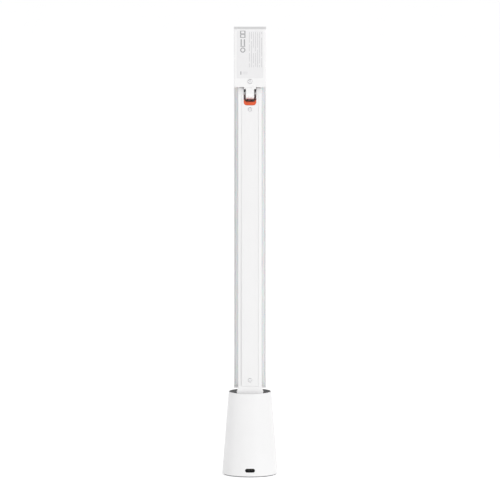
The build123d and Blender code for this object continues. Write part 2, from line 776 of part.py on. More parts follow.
with BuildPart() as hinge_tongue:
    with BuildSketch(Plane.YZ):
        with Locations((pin_y, pin_z)):
            Circle(tongue_radius)
        with BuildLine():
            Polyline(
                (pin_y - tongue_radius, pin_z),
                (pin_y + tongue_radius, pin_z),
                (neck_front, tail_low),
                (neck_front, neck_high),
                (neck_rear, neck_high),
                (neck_rear, tail_low),
                close=True,
            )
        make_face()
    extrude(amount=tongue_half, both=True)
    outline_edges = hinge_tongue.edges().group_by(Axis.X)[0] + hinge_tongue.edges().group_by(Axis.X)[-1]
    fillet([edge for edge in outline_edges if edge.center().Z < tail_low], 0.4)
    with BuildSketch(top_plane(0, (neck_front + neck_rear) / 2, tail_low - tongue_shoulder)):
        Rectangle(slot_width - 2 * loose_gap, neck_front - neck_rear)
    extrude(amount=tongue_shoulder)
    with BuildSketch(rear_plane(0, plate_rear, (tail_floor + fit_gap + plate_high) / 2)):
        RectangleRounded(2 * plate_half, plate_high - tail_floor - fit_gap, 1.5)
    extrude(amount=-(plate_front - plate_rear))
    for x in (-tongue_screw_x, tongue_screw_x):
        with BuildSketch(rear_plane(x, plate_rear, tongue_screw_z)):
            Circle(1.2)
        extrude(amount=-(plate_front - plate_rear), mode=Mode.SUBTRACT)
    with BuildSketch(rear_plane(0, plate_rear, tail_screw_z)):
        Circle(1.1)
    extrude(amount=-(plate_front - plate_rear), mode=Mode.SUBTRACT)
    with BuildSketch(Plane.YZ):
        with Locations((pin_y, pin_z)):
            Circle(pin_diameter / 2 + 0.02)
    extrude(amount=tongue_width, both=True, mode=Mode.SUBTRACT)
hinge_tongue.part.label = "hinge_tongue"

tongue_screw_places = [rear_plane(x, plate_rear, tongue_screw_z) for x in (-tongue_screw_x, tongue_screw_x)]
tongue_screw_length = plate_front - plate_rear + 5.0
tongue_screws = make_screws("tongue_screws", tongue_screw_places, tongue_screw_size, tongue_screw_length)

with BuildPart() as hinge_pin:
    with BuildSketch(Plane(origin=(-nut_outer, pin_y, pin_z), z_dir=(1, 0, 0))):
        Circle(pin_diameter / 2)
    extrude(amount=2 * nut_outer)
    with BuildSketch(Plane(origin=(-nut_outer, pin_y, pin_z), z_dir=(1, 0, 0))):
        Circle(nut_width / 2)
    extrude(amount=nut_thickness)
hinge_pin.part.label = "hinge_pin"

with BuildPart() as friction_washers:
    for start in (-washer_outer, cheek_outer):
        with BuildSketch(Plane(origin=(start, pin_y, pin_z), z_dir=(1, 0, 0))):
            Circle(nut_width / 2)
            Circle(pin_diameter / 2 + 0.02, mode=Mode.SUBTRACT)
        extrude(amount=washer_thickness)
friction_washers.part.label = "friction_washers"

with BuildPart() as hinge_nut:
    with BuildSketch(Plane(origin=(washer_outer, pin_y, pin_z), z_dir=(1, 0, 0))):
        RegularPolygon(nut_width / 2, 6, major_radius=False)
        Circle(pin_diameter / 2 + 0.02, mode=Mode.SUBTRACT)
    extrude(amount=nut_thickness)
hinge_nut.part.label = "hinge_nut"

diffuser_low = cap_top + fit_gap
diffuser_high = tail_low - fit_gap

with BuildPart() as diffuser:
    with BuildSketch(rear_plane(0, head_back, (diffuser_low + diffuser_high) / 2)):
        Rectangle(2 * (diffuser_half - fit_gap), diffuser_high - diffuser_low)
    extrude(amount=-diffuser_thickness)
    chamfer(diffuser.faces().sort_by(Axis.Y)[0].edges().filter_by(Axis.Z), 0.3)
diffuser.part.label = "diffuser"

led_rows = GridLocations(0, led_pitch, 1, led_count)

with BuildPart() as led_board:
    with BuildSketch(rear_plane(0, led_board_face, (led_board_low + led_board_high) / 2)):
        Rectangle(2 * led_board_half, led_board_high - led_board_low)
    extrude(amount=-led_board_thickness)
led_board.part.label = "led_board"

with BuildPart() as led_chips:
    with BuildSketch(rear_plane(0, led_board_face, led_row_middle)):
        with led_rows:
            Rectangle(led_size, led_size)
    extrude(amount=led_height)
led_chips.part.label = "led_chips"

reflector_rear = diffuser_front + 0.1
reflector_low = cap_top + 3.4

with BuildPart() as reflector:
    with BuildSketch(Plane.XY.offset(reflector_low)):
        with BuildLine():
            Polyline(
                (-channel_half + 0.3, reflector_rear),
                (channel_half - 0.3, reflector_rear),
                (led_board_half + 0.4, led_board_face - 0.05),
                (-led_board_half - 0.4, led_board_face - 0.05),
                close=True,
            )
        make_face()
        with BuildLine():
            Polyline(
                (-channel_half + 1.0, reflector_rear),
                (channel_half - 1.0, reflector_rear),
                (led_board_half, led_board_face - 0.6),
                (-led_board_half, led_board_face - 0.6),
                close=True,
            )
        make_face(mode=Mode.SUBTRACT)
    extrude(amount=tail_low - 0.4 - reflector_low)
    with BuildSketch(rear_plane(0, led_board_face, led_row_middle)):
        with led_rows:
            Rectangle(led_size + 0.6, led_size + 0.6)
    extrude(amount=1.0, mode=Mode.SUBTRACT)
reflector.part.label = "reflector"

with BuildPart() as driver_board:
    with BuildSketch(rear_plane(0, diffuser_front, driver_boss_z)):
        Rectangle(2 * driver_half, driver_high - driver_low)
        with Locations((-driver_boss_x, 0), (driver_boss_x, 0)):
            Circle(0.9, mode=Mode.SUBTRACT)
    extrude(amount=board_thickness)
driver_board.part.label = "driver_board"

with BuildPart() as driver_components:
    with BuildSketch(rear_plane(0, driver_rear, driver_boss_z + 6.0)):
        Rectangle(5.0, 5.0)
    extrude(amount=2.6)
    with BuildSketch(rear_plane(0, driver_rear, driver_boss_z - 5.0)):
        with GridLocations(3.6, 3.0, 3, 2):
            Rectangle(2.0, 1.3)
    extrude(amount=0.9)
driver_components.part.label = "driver_components"

driver_screw_places = [rear_plane(x, driver_rear, driver_boss_z) for x in (-driver_boss_x, driver_boss_x)]
driver_screws = make_screws("driver_screws", driver_screw_places, driver_screw_size, board_thickness + 4.0)

head_wire_y = led_board_face - wire_radius - 0.05

with BuildPart() as head_wires:
    with BuildSketch(Plane.XY.offset(led_board_high - 2.0)):
        with Locations((-1.2, head_wire_y), (1.2, head_wire_y)):
            Circle(wire_radius)
    extrude(amount=driver_boss_z - led_board_high)
head_wires.part.label = "head_wires"

# ---- one STEP file for each piece ---------------------------------------------------------------------

pieces = [
    base_shell.part,
    base_bottom_cover.part,
    foot_pad.part,
    counterweight.part,
    battery_cell.part,
    cell_tabs.part,
    cell_pad.part,
    main_board.part,
    board_components.part,
    board_screws,
    usb_c_socket.part,
    base_cover_screws,
    deck_screws,
    foot_screws,
    touch_panel.part,
    indicator_lenses.part,
    touch_sensor_board.part,
    sensor_ribbon.part,
    arm_shell.part,
    arm_cover.part,
    arm_screws,
    arm_spine.part,
    spine_screws,
    hinge_bracket.part,
    bracket_screws,
    arm_wires.part,
    slot_liner.part,
    head_housing.part,
    end_cap.part,
    tail_cover.part,
    tail_screw,
    hinge_tongue.part,
    tongue_screws,
    hinge_pin.part,
    friction_washers.part,
    hinge_nut.part,
    diffuser.part,
    reflector.part,
    led_board.part,
    led_chips.part,
    driver_board.part,
    driver_components.part,
    driver_screws,
    head_wires.part,
]

os.makedirs("parts", exist_ok=True)
for piece in pieces:
    export_step(piece, f"parts/{piece.label}.step")
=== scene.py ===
"""The folding light bar's looks: shells, hinge, diffuser and finishes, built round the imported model."""

import json
import logging
import math
from abc import ABC, abstractmethod
from collections.abc import Callable, Iterable, Mapping, Sequence
from dataclasses import dataclass, field
from enum import Enum
from typing import Any

import bmesh
import bpy
from mathutils import Matrix, Vector


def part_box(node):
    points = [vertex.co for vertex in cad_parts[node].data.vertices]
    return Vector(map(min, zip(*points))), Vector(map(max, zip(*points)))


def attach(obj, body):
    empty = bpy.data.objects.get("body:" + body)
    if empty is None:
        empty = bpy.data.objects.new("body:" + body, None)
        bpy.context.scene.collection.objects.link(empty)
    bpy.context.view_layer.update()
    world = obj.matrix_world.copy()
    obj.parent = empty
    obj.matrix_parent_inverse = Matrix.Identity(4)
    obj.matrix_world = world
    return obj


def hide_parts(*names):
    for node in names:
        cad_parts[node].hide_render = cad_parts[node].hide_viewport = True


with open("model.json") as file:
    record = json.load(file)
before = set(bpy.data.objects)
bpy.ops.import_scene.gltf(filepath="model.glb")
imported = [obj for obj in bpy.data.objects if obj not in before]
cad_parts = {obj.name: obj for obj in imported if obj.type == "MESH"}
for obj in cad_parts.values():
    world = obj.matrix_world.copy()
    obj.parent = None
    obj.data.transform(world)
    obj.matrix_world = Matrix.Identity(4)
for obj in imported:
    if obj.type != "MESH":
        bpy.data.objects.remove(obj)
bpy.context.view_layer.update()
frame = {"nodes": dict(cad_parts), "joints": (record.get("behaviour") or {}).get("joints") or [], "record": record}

MM = 0.001
Colour = tuple[float, float, float]
Triple = tuple[float, float, float]
Point = tuple[float, float]
log = logging.getLogger("light_bar")


class Body(Enum):
    """The two CAD bodies that pieces ride on."""

    BASE = "base"
    HEAD = "head"


class Axis(Enum):
    """The row's axes, each with the turn that brings a part built along +Z onto it."""

    X = "x"
    Y = "y"
    Z = "z"

    def turn(self) -> Matrix:
        """Returns the rotation that carries +Z onto this axis, or onto -Y for Y."""
        if self is Axis.X:
            return Matrix.Rotation(math.pi / 2, 4, "Y")
        if self is Axis.Y:
            return Matrix.Rotation(math.pi / 2, 4, "X")
        return Matrix.Identity(4)


# ---- shader graph --------------------------------------------------------------------------------------


@dataclass(frozen=True)
class Wire:
    """One output of a shader node, with arithmetic that adds Math nodes."""

    graph: "Graph"
    socket: bpy.types.NodeSocket

    def _math(self, operation: str, first: "Wire | float", second: "Wire | float" = 0.0) -> "Wire":
        """Adds a Math node.

        Args:
            operation: Blender's name for the operation.
            first: the first operand.
            second: the second operand.

        Returns:
            The node's result.
        """
        node = self.graph.node("ShaderNodeMath", {"operation": operation}, {0: first, 1: second})
        return Wire(self.graph, node.outputs[0])

    def __add__(self, other: "Wire | float") -> "Wire":
        """Returns the sum."""
        return self._math("ADD", self, other)

    def __radd__(self, other: float) -> "Wire":
        """Returns the sum with the number on the left."""
        return self._math("ADD", other, self)

    def __sub__(self, other: "Wire | float") -> "Wire":
        """Returns the difference."""
        return self._math("SUBTRACT", self, other)

    def __rsub__(self, other: float) -> "Wire":
        """Returns a number minus this."""
        return self._math("SUBTRACT", other, self)

    def __mul__(self, other: "Wire | float") -> "Wire":
        """Returns the product."""
        return self._math("MULTIPLY", self, other)

    def __rmul__(self, other: float) -> "Wire":
        """Returns the product with the number on the left."""
        return self._math("MULTIPLY", other, self)

    def __truediv__(self, other: "Wire | float") -> "Wire":
        """Returns the quotient."""
        return self._math("DIVIDE", self, other)

    def __lt__(self, other: "Wire | float") -> "Wire":
        """Returns 1 where this is less than the other."""
        return self._math("LESS_THAN", self, other)

    def __gt__(self, other: "Wire | float") -> "Wire":
        """Returns 1 where this is greater than the other."""
        return self._math("GREATER_THAN", self, other)

    def __mod__(self, other: float) -> "Wire":
        """Returns the remainder, never negative."""
        return self._math("FLOORED_MODULO", self, other)

    def __abs__(self) -> "Wire":
        """Returns the absolute value."""
        return self._math("ABSOLUTE", self)

    def floor(self) -> "Wire":
        """Returns the whole number below."""
        return self._math("FLOOR", self)

    def power(self, exponent: float) -> "Wire":
        """Returns this raised to a power."""
        return self._math("POWER", self, exponent)

    def low(self, other: "Wire | float") -> "Wire":
        """Returns the smaller of the two."""
        return self._math("MINIMUM", self, other)

    def high(self, other: "Wire | float") -> "Wire":
        """Returns the larger of the two."""
        return self._math("MAXIMUM", self, other)


class Graph:
    """One material's nodes: a Principled shader, its output and what feeds them."""

    def __init__(self, name: str, fixed: Mapping[str, Any]) -> None:
        """Starts a material.

        Args:
            name: the material's name.
            fixed: values for the Principled shader's own sockets.
        """
        self.material = bpy.data.materials.new(name)
        self.material.use_nodes = True
        self.tree = self.material.node_tree
        self.tree.nodes.clear()
        output = self.tree.nodes.new("ShaderNodeOutputMaterial")
        self.shader = self.node("ShaderNodeBsdfPrincipled", {}, fixed)
        self.tree.links.new(self.shader.outputs[0], output.inputs[0])

    def node(
        self,
        kind: str,
        settings: Mapping[str, Any] | None = None,
        inputs: Mapping[str | int, Any] | None = None,
    ) -> bpy.types.Node:
        """Adds any node.

        Args:
            kind: the node's type.
            settings: attributes of the node, set before its sockets.
            inputs: values or wires by socket name or number.

        Returns:
            The new node.
        """
        made = self.tree.nodes.new(kind)
        for key, value in (settings or {}).items():
            setattr(made, key, value)
        for key, value in (inputs or {}).items():
            self.feed(made, key, value)
        return made

    def feed(self, node: bpy.types.Node, key: str | int, value: Any) -> None:
        """Sets or links one socket.

        Args:
            node: the node that owns the socket.
            key: the socket's name or number.
            value: a wire to link, or a value to set; a colour gets an alpha of 1.
        """
        socket = node.inputs[key]
        if isinstance(value, Wire):
            self.tree.links.new(value.socket, socket)
        elif socket.type == "RGBA" and len(value) == 3:
            socket.default_value = (*value, 1.0)
        else:
            socket.default_value = value

    def set(self, key: str, value: Any) -> None:
        """Feeds one socket of the Principled shader."""
        self.feed(self.shader, key, value)

    def place(self, scale: Triple = (1.0, 1.0, 1.0), move: Triple = (0.0, 0.0, 0.0)) -> Wire:
        """Returns object coordinates, scaled and moved.

        Args:
            scale: factors for the three axes.
            move: the point, in metres, that becomes the pattern's origin.

        Returns:
            The mapped coordinates.
        """
        coords = Wire(self, self.node("ShaderNodeTexCoord").outputs["Object"])
        shift = tuple(-m * s for m, s in zip(move, scale))
        made = self.node("ShaderNodeMapping", {}, {"Vector": coords, "Location": shift, "Scale": scale})
        return Wire(self, made.outputs[0])

    def axes(self, vector: Wire) -> tuple[Wire, Wire, Wire]:
        """Returns the three components of a vector."""
        made = self.node("ShaderNodeSeparateXYZ", {}, {0: vector})
        return tuple(Wire(self, out) for out in made.outputs)

    def noise(self, size_mm: float, detail: float = 2.0, vector: Wire | None = None) -> Wire:
        """Returns smooth noise from 0 to 1.

        Args:
            size_mm: the size of a blob in millimetres.
            detail: how many finer layers are added.
            vector: coordinates to use in place of plain object ones.

        Returns:
            The noise.
        """
        inputs = {"Vector": vector or self.place(), "Scale": 1.0 / (size_mm * MM), "Detail": detail}
        return Wire(self, self.node("ShaderNodeTexNoise", {}, inputs).outputs[0])

    def cells(self, size_mm: float, vector: Wire | None = None, feature: str = "F1") -> Wire:
        """Returns a pattern of scattered cells.

        Args:
            size_mm: the size of a cell in millimetres.
            vector: coordinates to use in place of plain object ones.
            feature: Blender's name for what is measured.

        Returns:
            The distance to the nearest point, or to the nearest edge.
        """
        inputs = {"Vector": vector or self.place(), "Scale": 1.0 / (size_mm * MM)}
        return Wire(self, self.node("ShaderNodeTexVoronoi", {"feature": feature}, inputs).outputs[0])

    def between(self, value: Wire, low: float, high: float, span: Point = (0.0, 1.0)) -> Wire:
        """Returns a value spread from a span of its own to a new one.

        Args:
            value: what is spread.
            low: the result at the span's start.
            high: the result at the span's end.
            span: the values at which the result reaches low and high.

        Returns:
            The spread value.
        """
        inputs = {0: value, 1: span[0], 2: span[1], 3: low, 4: high}
        return Wire(self, self.node("ShaderNodeMapRange", {}, inputs).outputs[0])

    def mix(self, factor: Wire | float, first: "Wire | Colour", second: "Wire | Colour") -> Wire:
        """Returns two colours mixed.

        Args:
            factor: 0 gives the first colour and 1 the second.
            first: a colour or a wire that carries one.
            second: the same.

        Returns:
            The mixed colour.
        """
        made = self.node("ShaderNodeMix", {"data_type": "RGBA"}, {0: factor, 6: first, 7: second})
        return Wire(self, made.outputs[2])

    def bump(self, height: Wire, depth_mm: float, strength: float = 1.0, below: Wire | None = None) -> Wire:
        """Adds relief to the normal.

        Args:
            height: relief from 0 to 1.
            depth_mm: how deep the relief is.
            strength: how much of it shows.
            below: a coarser relief that this one lies on.

        Returns:
            The new normal, which is also fed to the shader.
        """
        inputs = {"Height": height, "Distance": depth_mm * MM, "Strength": strength}
        if below is not None:
            inputs["Normal"] = below
        normal = Wire(self, self.node("ShaderNodeBump", {}, inputs).outputs[0])
        self.set("Normal", normal)
        return normal


def tinted(colour: Colour, factor: float) -> Colour:
    """Returns a colour made lighter or darker by a factor."""
    return tuple(min(1.0, channel * factor) for channel in colour)


# ---- finishes ------------------------------------------------------------------------------------------


@dataclass(frozen=True)
class Finish(ABC):
    """A surface finish that can be made into a material."""

    name: str
    colour: Colour

    @abstractmethod
    def paint(self) -> bpy.types.Material:
        """Returns the finish's material."""


@dataclass(frozen=True)
class MouldedPlastic(Finish):
    """Injection-moulded plastic with a fine spark-eroded grain and a trace of handling."""

    roughness: float = 0.42
    grain_mm: float = 0.35
    grain_depth_mm: float = 0.004
    specular: float = 0.45

    def start(self) -> tuple[Graph, Wire]:
        """Builds the colour, roughness and grain, for finishes that add to them.

        Returns:
            The graph and its colour.
        """
        graph = Graph(self.name, {"Specular IOR Level": self.specular, "Subsurface Weight": 0.0})
        flow = graph.noise(34.0, 2.0)
        speckle = graph.noise(1.6, 3.0)
        shade = graph.between(flow * 0.7 + speckle * 0.3, 0.985, 1.012, (0.3, 0.7))
        share = graph.between(shade, 0.0, 1.0, (0.985, 1.012))
        colour = graph.mix(share, tinted(self.colour, 0.982), self.colour)
        graph.set("Base Color", colour)
        handling = graph.noise(9.0, 4.0)
        low, high = self.roughness - 0.05, self.roughness + 0.07
        graph.set("Roughness", graph.between(handling * 0.6 + speckle * 0.4, low, high, (0.3, 0.7)))
        wave = graph.bump(graph.noise(16.0, 1.0), 0.012, 0.5)
        grain = graph.cells(self.grain_mm) * 0.6 + graph.noise(self.grain_mm * 0.6, 2.0) * 0.4
        graph.bump(grain, self.grain_depth_mm, 0.6, wave)
        return graph, colour

    def paint(self) -> bpy.types.Material:
        """Returns the finish's material."""
        return self.start()[0].material


@dataclass(frozen=True)
class RatingPlate(MouldedPlastic):
    """Moulded plastic with faint printed rules and plain shapes, none of which is a letter or a mark."""

    ink: Colour = (0.36, 0.36, 0.37)
    square_places: Point = (24.2, 20.7)
    bar_place: float = 14.6
    ring_place: float = 7.6
    rule_pitch: float = 1.9
    rule_half: float = 0.34
    rules_across: Point = (-1.5, 11.4)
    rules_up: Point = (-8.6, 24.4)
    rule_ink: float = 0.42
    centre: Triple = (0.0, 0.0, 0.0)

    def paint(self) -> bpy.types.Material:
        """Builds the finish's nodes.

        Returns:
            The finish's material.
        """
        graph, colour = self.start()
        across, _, up = graph.axes(graph.place((1 / MM,) * 3, self.centre))
        lines = self._rules(graph, across, up)
        shapes = self._shapes(across, up)
        graph.set("Base Color", graph.mix(lines.high(shapes), colour, self.ink))
        return graph.material

    def _rules(self, graph: Graph, across: Wire, up: Wire) -> Wire:
        """Returns a mask of thin upright rules, broken into dashes of uneven length.

        Args:
            graph: the material's graph.
            across: millimetres to the right of the plate's centre.
            up: millimetres above it.

        Returns:
            The mask.
        """
        shifted, pitch = across + 30.0, self.rule_pitch
        row = (shifted / pitch).floor()
        middle = abs(shifted % pitch - pitch / 2) < self.rule_half
        key = graph.node("ShaderNodeCombineXYZ", {}, {0: row * 7.31, 1: (up * 0.62).floor() * 1.0})
        kind, spot = "ShaderNodeTexWhiteNoise", Wire(graph, key.outputs[0])
        dash = graph.node(kind, {"noise_dimensions": "2D"}, {0: spot})
        fine = graph.node(kind, {"noise_dimensions": "1D"}, {1: (up * 2.6).floor() + row * 5.0})
        weight = 0.72 + 0.28 * (Wire(graph, fine.outputs[0]) > 0.25)
        printed = (Wire(graph, dash.outputs[0]) > 0.10) * weight
        left, right = self.rules_across
        foot, top = self.rules_up
        inside = (across > left) * (across < right) * (up < top) * (up > foot)
        return middle * printed * inside * self.rule_ink

    def _shapes(self, across: Wire, up: Wire) -> Wire:
        """Returns a mask of a column of plain squares, bars and a ring, and a tick near the foot.

        Args:
            across: millimetres to the right of the plate's centre.
            up: millimetres above it.

        Returns:
            The mask.
        """
        side = abs(across + 6.7)
        mask = (abs(across + 8.5) < 0.45) * (abs(up + 13.9) < 1.5)
        for place in self.square_places:
            mask = mask.high(abs(side.high(abs(up - place) * 1.5) - 2.0) < 0.5)
        bars = (abs(side - 1.5) < 0.55) * (abs(up - self.bar_place) < 3.1)
        foot = (side < 2.3) * (abs(up - self.bar_place + 3.6) < 0.35)
        drop = up - self.ring_place
        ring = abs((side * side + drop * drop).power(0.5) - 1.95) < 0.5
        faint = (abs(across + 4.6) < 2.4) * (abs(abs(up + 13.9) - 0.8) < 0.25) * 0.35
        return mask.high(bars).high(foot).high(ring).high(faint)


@dataclass(frozen=True)
class GlassPanel(Finish):
    """Black-backed touch glass with finger marks and a plain ring printed under it."""

    ring_centre: Triple = (0.0, 0.0, 0.0)
    ring_radius_mm: float = 3.4

    def paint(self) -> bpy.types.Material:
        """Builds the finish's nodes.

        Returns:
            The finish's material.
        """
        graph = Graph(self.name, {"Specular IOR Level": 0.12, "IOR": 1.3})
        across, along, _ = graph.axes(graph.place((1 / MM,) * 3, self.ring_centre))
        reach = (across * across + along * along).power(0.5)
        gap = (abs(across) < 1.0) * (along > 0.0)
        ring = (abs(reach - self.ring_radius_mm) < 0.22) * (1.0 - gap)
        tick = (abs(across) < 0.22) * (along > 1.4) * (along < self.ring_radius_mm + 0.9)
        printed = ring.high(tick)
        depth = graph.mix(graph.noise(12.0), self.colour, tinted(self.colour, 1.6))
        graph.set("Base Color", graph.mix(printed, depth, (0.55, 0.56, 0.58)))
        smear = graph.noise(5.0, 5.0, graph.place((1.0, 2.4, 1.0)))
        graph.set("Roughness", graph.between(smear, 0.16, 0.34, (0.35, 0.75)))
        graph.bump(graph.noise(18.0, 1.0), 0.004, 0.4)
        return graph.material


@dataclass(frozen=True)
class Elastomer(Finish):
    """Rubber, silicone or foam: matt, faintly dusty, with a soft skin."""

    roughness: float = 0.7
    grain_mm: float = 0.5
    depth_mm: float = 0.03
    softness: float = 0.0

    def paint(self) -> bpy.types.Material:
        """Builds the finish's nodes.

        Returns:
            The finish's material.
        """
        fixed = {"Specular IOR Level": 0.35, "Sheen Weight": 0.12, "Subsurface Weight": self.softness}
        fixed["Subsurface Scale"] = 0.4 * MM
        graph = Graph(self.name, fixed)
        dust = graph.noise(3.2, 5.0)
        graph.set("Base Color", graph.mix(dust, tinted(self.colour, 0.86), tinted(self.colour, 1.1)))
        graph.set("Roughness", graph.between(dust, self.roughness - 0.1, self.roughness + 0.12, (0.3, 0.7)))
        skin = graph.bump(graph.noise(self.grain_mm * 6.0, 2.0), self.depth_mm, 0.4)
        graph.bump(graph.cells(self.grain_mm), self.depth_mm * 0.4, 0.5, skin)
        return graph.material


@dataclass(frozen=True)
class DrawnMetal(Finish):
    """Metal with fine marks along one axis, as rolled, ground or drawn."""

    roughness: float = 0.3
    along: Axis = Axis.Z
    metallic: float = 1.0
    mark_mm: float = 0.12

    def paint(self) -> bpy.types.Material:
        """Builds the finish's nodes.

        Returns:
            The finish's material.
        """
        graph = Graph(self.name, {"Metallic": self.metallic, "Anisotropic": 0.3})
        stretch = tuple(0.04 if self.along is axis else 1.0 for axis in Axis)
        marks = graph.noise(self.mark_mm, 3.0, graph.place(stretch))
        stain = graph.noise(7.0, 4.0)
        graph.set("Base Color", graph.mix(stain, tinted(self.colour, 0.88), tinted(self.colour, 1.06)))
        low, high = self.roughness - 0.1, self.roughness + 0.14
        spread = graph.between(marks * 0.6 + stain * 0.4, low, high, (0.3, 0.7))
        graph.set("Roughness", spread)
        graph.bump(marks, 0.006, 0.5)
        return graph.material


@dataclass(frozen=True)
class CastMetal(Finish):
    """Sand-cast iron with a coarse skin and darker hollows."""

    roughness: float = 0.68

    def paint(self) -> bpy.types.Material:
        """Builds the finish's nodes.

        Returns:
            The finish's material.
        """
        graph = Graph(self.name, {"Metallic": 0.75})
        skin = graph.noise(0.9, 5.0)
        pits = graph.between(graph.cells(2.4), 0.0, 1.0, (0.05, 0.4))
        graph.set("Base Color", graph.mix(skin * pits, tinted(self.colour, 0.6), tinted(self.colour, 1.3)))
        graph.set("Roughness", graph.between(skin, self.roughness - 0.12, self.roughness + 0.15, (0.3, 0.7)))
        graph.bump(skin * 0.5 + pits * 0.5, 0.12, 0.7)
        return graph.material


@dataclass(frozen=True)
class SolderMask(Finish):
    """A circuit board: glossy mask over tracks, with tinned pads showing through."""

    track_mm: float = 1.3

    def paint(self) -> bpy.types.Material:
        """Builds the finish's nodes.

        Returns:
            The finish's material.
        """
        graph = Graph(self.name, {"Coat Weight": 0.3, "Coat Roughness": 0.12})
        tracks = graph.cells(self.track_mm * 2.2, None, "DISTANCE_TO_EDGE")
        copper = graph.between(tracks, 1.0, 0.0, (0.05, 0.12))
        pads = graph.between(graph.cells(self.track_mm * 1.9), 1.0, 0.0, (0.12, 0.17))
        mask = graph.mix(copper, self.colour, tinted(self.colour, 1.7))
        graph.set("Base Color", graph.mix(pads, mask, (0.72, 0.72, 0.70)))
        graph.set("Metallic", pads * 0.9)
        graph.set("Roughness", graph.between(graph.noise(2.0, 3.0), 0.22, 0.38, (0.3, 0.7)))
        graph.bump(copper.high(pads), 0.03, 0.6)
        return graph.material


@dataclass(frozen=True)
class FrostedStrip(Finish):
    """The diffuser: opal plastic with a fine prism texture that scatters the light."""

    def paint(self) -> bpy.types.Material:
        """Builds the finish's nodes.

        Returns:
            The finish's material.
        """
        fixed = {"Subsurface Weight": 0.25, "Subsurface Scale": 1.2 * MM}
        fixed |= {"Specular IOR Level": 0.4, "IOR": 1.49}
        graph = Graph(self.name, fixed)
        across, _, up = graph.axes(graph.place((1 / MM,) * 3))
        prisms = abs((across * 1.6) % 1.0 - 0.5) * abs((up * 1.6) % 1.0 - 0.5) * 4.0
        haze = graph.noise(6.0, 3.0)
        graph.set("Base Color", graph.mix(haze, tinted(self.colour, 0.97), self.colour))
        graph.set("Roughness", graph.between(haze, 0.38, 0.5, (0.3, 0.7)))
        graph.bump(prisms, 0.03, 0.6)
        return graph.material


@dataclass(frozen=True)
class LedPackage(Finish):
    """A small white LED package with a round yellow phosphor window."""

    pitch_mm: float = 9.0
    first_mm: float = 0.0

    def paint(self) -> bpy.types.Material:
        """Builds the finish's nodes.

        Returns:
            The finish's material.
        """
        graph = Graph(self.name, {"Coat Weight": 0.4})
        across, _, up = graph.axes(graph.place((1 / MM,) * 3, (0.0, 0.0, self.first_mm * MM)))
        along = abs((up + self.pitch_mm * 40.5) % self.pitch_mm - self.pitch_mm / 2)
        reach = (across * across + along * along).power(0.5)
        window = graph.between(reach, 1.0, 0.0, (1.1, 1.2))
        grain = graph.noise(0.3, 3.0)
        phosphor = graph.mix(grain, tinted(self.colour, 0.9), self.colour)
        graph.set("Base Color", graph.mix(window, (0.88, 0.88, 0.86), phosphor))
        graph.set("Roughness", graph.between(grain, 0.25, 0.45, (0.3, 0.7)))
        graph.bump(window, 0.05, 0.5)
        return graph.material


@dataclass(frozen=True)
class ClearPlastic(Finish):
    """A clear light pipe."""

    def paint(self) -> bpy.types.Material:
        """Builds the finish's nodes.

        Returns:
            The finish's material.
        """
        graph = Graph(self.name, {"Transmission Weight": 0.85, "IOR": 1.49})
        cloud = graph.noise(0.8, 2.0)
        graph.set("Base Color", graph.mix(cloud, tinted(self.colour, 0.92), self.colour))
        graph.set("Roughness", graph.between(cloud, 0.05, 0.16, (0.3, 0.7)))
        return graph.material


WHITE: Colour = (0.865, 0.862, 0.862)
GREY_WHITE: Colour = (0.80, 0.795, 0.80)
SHELL_WHITE = MouldedPlastic("moulded_white", WHITE, roughness=0.36)
ARM_WHITE = MouldedPlastic("arm_white", WHITE, roughness=0.36, grain_depth_mm=0.003)
COVER_WHITE = MouldedPlastic("cover_white", tinted(WHITE, 0.975), roughness=0.46, grain_mm=0.45)
TONGUE_WHITE = MouldedPlastic("tongue_paint", (0.90, 0.90, 0.90), roughness=0.3, grain_mm=0.8)
HIDDEN_WHITE = MouldedPlastic("inner_white", (0.82, 0.82, 0.81), roughness=0.5)
SOCKET_BLACK = MouldedPlastic("socket_black", (0.012, 0.012, 0.013), roughness=0.45, grain_mm=0.25)
CHIP_BLACK = MouldedPlastic("component_black", (0.03, 0.03, 0.032), roughness=0.5, grain_mm=0.2)
SLEEVE_BLUE = MouldedPlastic("cell_sleeve", (0.03, 0.13, 0.30), roughness=0.28, grain_mm=1.2)
PAD_GREY = Elastomer("foot_rubber", (0.30, 0.30, 0.31))
LINER_ORANGE = Elastomer("liner_silicone", (0.74, 0.105, 0.03), roughness=0.5, depth_mm=0.015, softness=0.1)
FOAM_BLACK = Elastomer("cell_foam", (0.06, 0.06, 0.06), roughness=0.9, grain_mm=0.4, depth_mm=0.2)
WIRE_RED = Elastomer("wire_insulation", (0.45, 0.02, 0.02), roughness=0.45, depth_mm=0.01)
SCREW_STEEL = DrawnMetal("screw_steel", (0.84, 0.84, 0.85), roughness=0.22, along=Axis.Y, mark_mm=0.2)
SPRING_STEEL = DrawnMetal("ground_steel", (0.46, 0.46, 0.47), roughness=0.34)
SOCKET_SHELL = DrawnMetal("socket_shell", (0.07, 0.07, 0.072), roughness=0.32, along=Axis.Y)
CONTACT_GOLD = DrawnMetal("contact_gold", (0.83, 0.60, 0.25), roughness=0.25, along=Axis.Y)
NICKEL = DrawnMetal("rolled_nickel", (0.62, 0.60, 0.56), roughness=0.35, along=Axis.Y)
IRON = CastMetal("cast_iron", (0.13, 0.13, 0.14))
BOARD_GREEN = SolderMask("green_board", (0.012, 0.12, 0.045))
BOARD_WHITE = SolderMask("white_board", (0.78, 0.79, 0.79), track_mm=2.4)
RIBBON_AMBER = SolderMask("ribbon_film", (0.42, 0.17, 0.03), track_mm=0.5)
OPAL = FrostedStrip("opal_diffuser", (0.80, 0.81, 0.815))
TRAY_WHITE = MouldedPlastic("reflector_tray", (0.93, 0.93, 0.93), roughness=0.25, grain_mm=0.9)
LENS_CLEAR = ClearPlastic("light_pipe", (0.9, 0.93, 0.95))


# ---- outlines ------------------------------------------------------------------------------------------


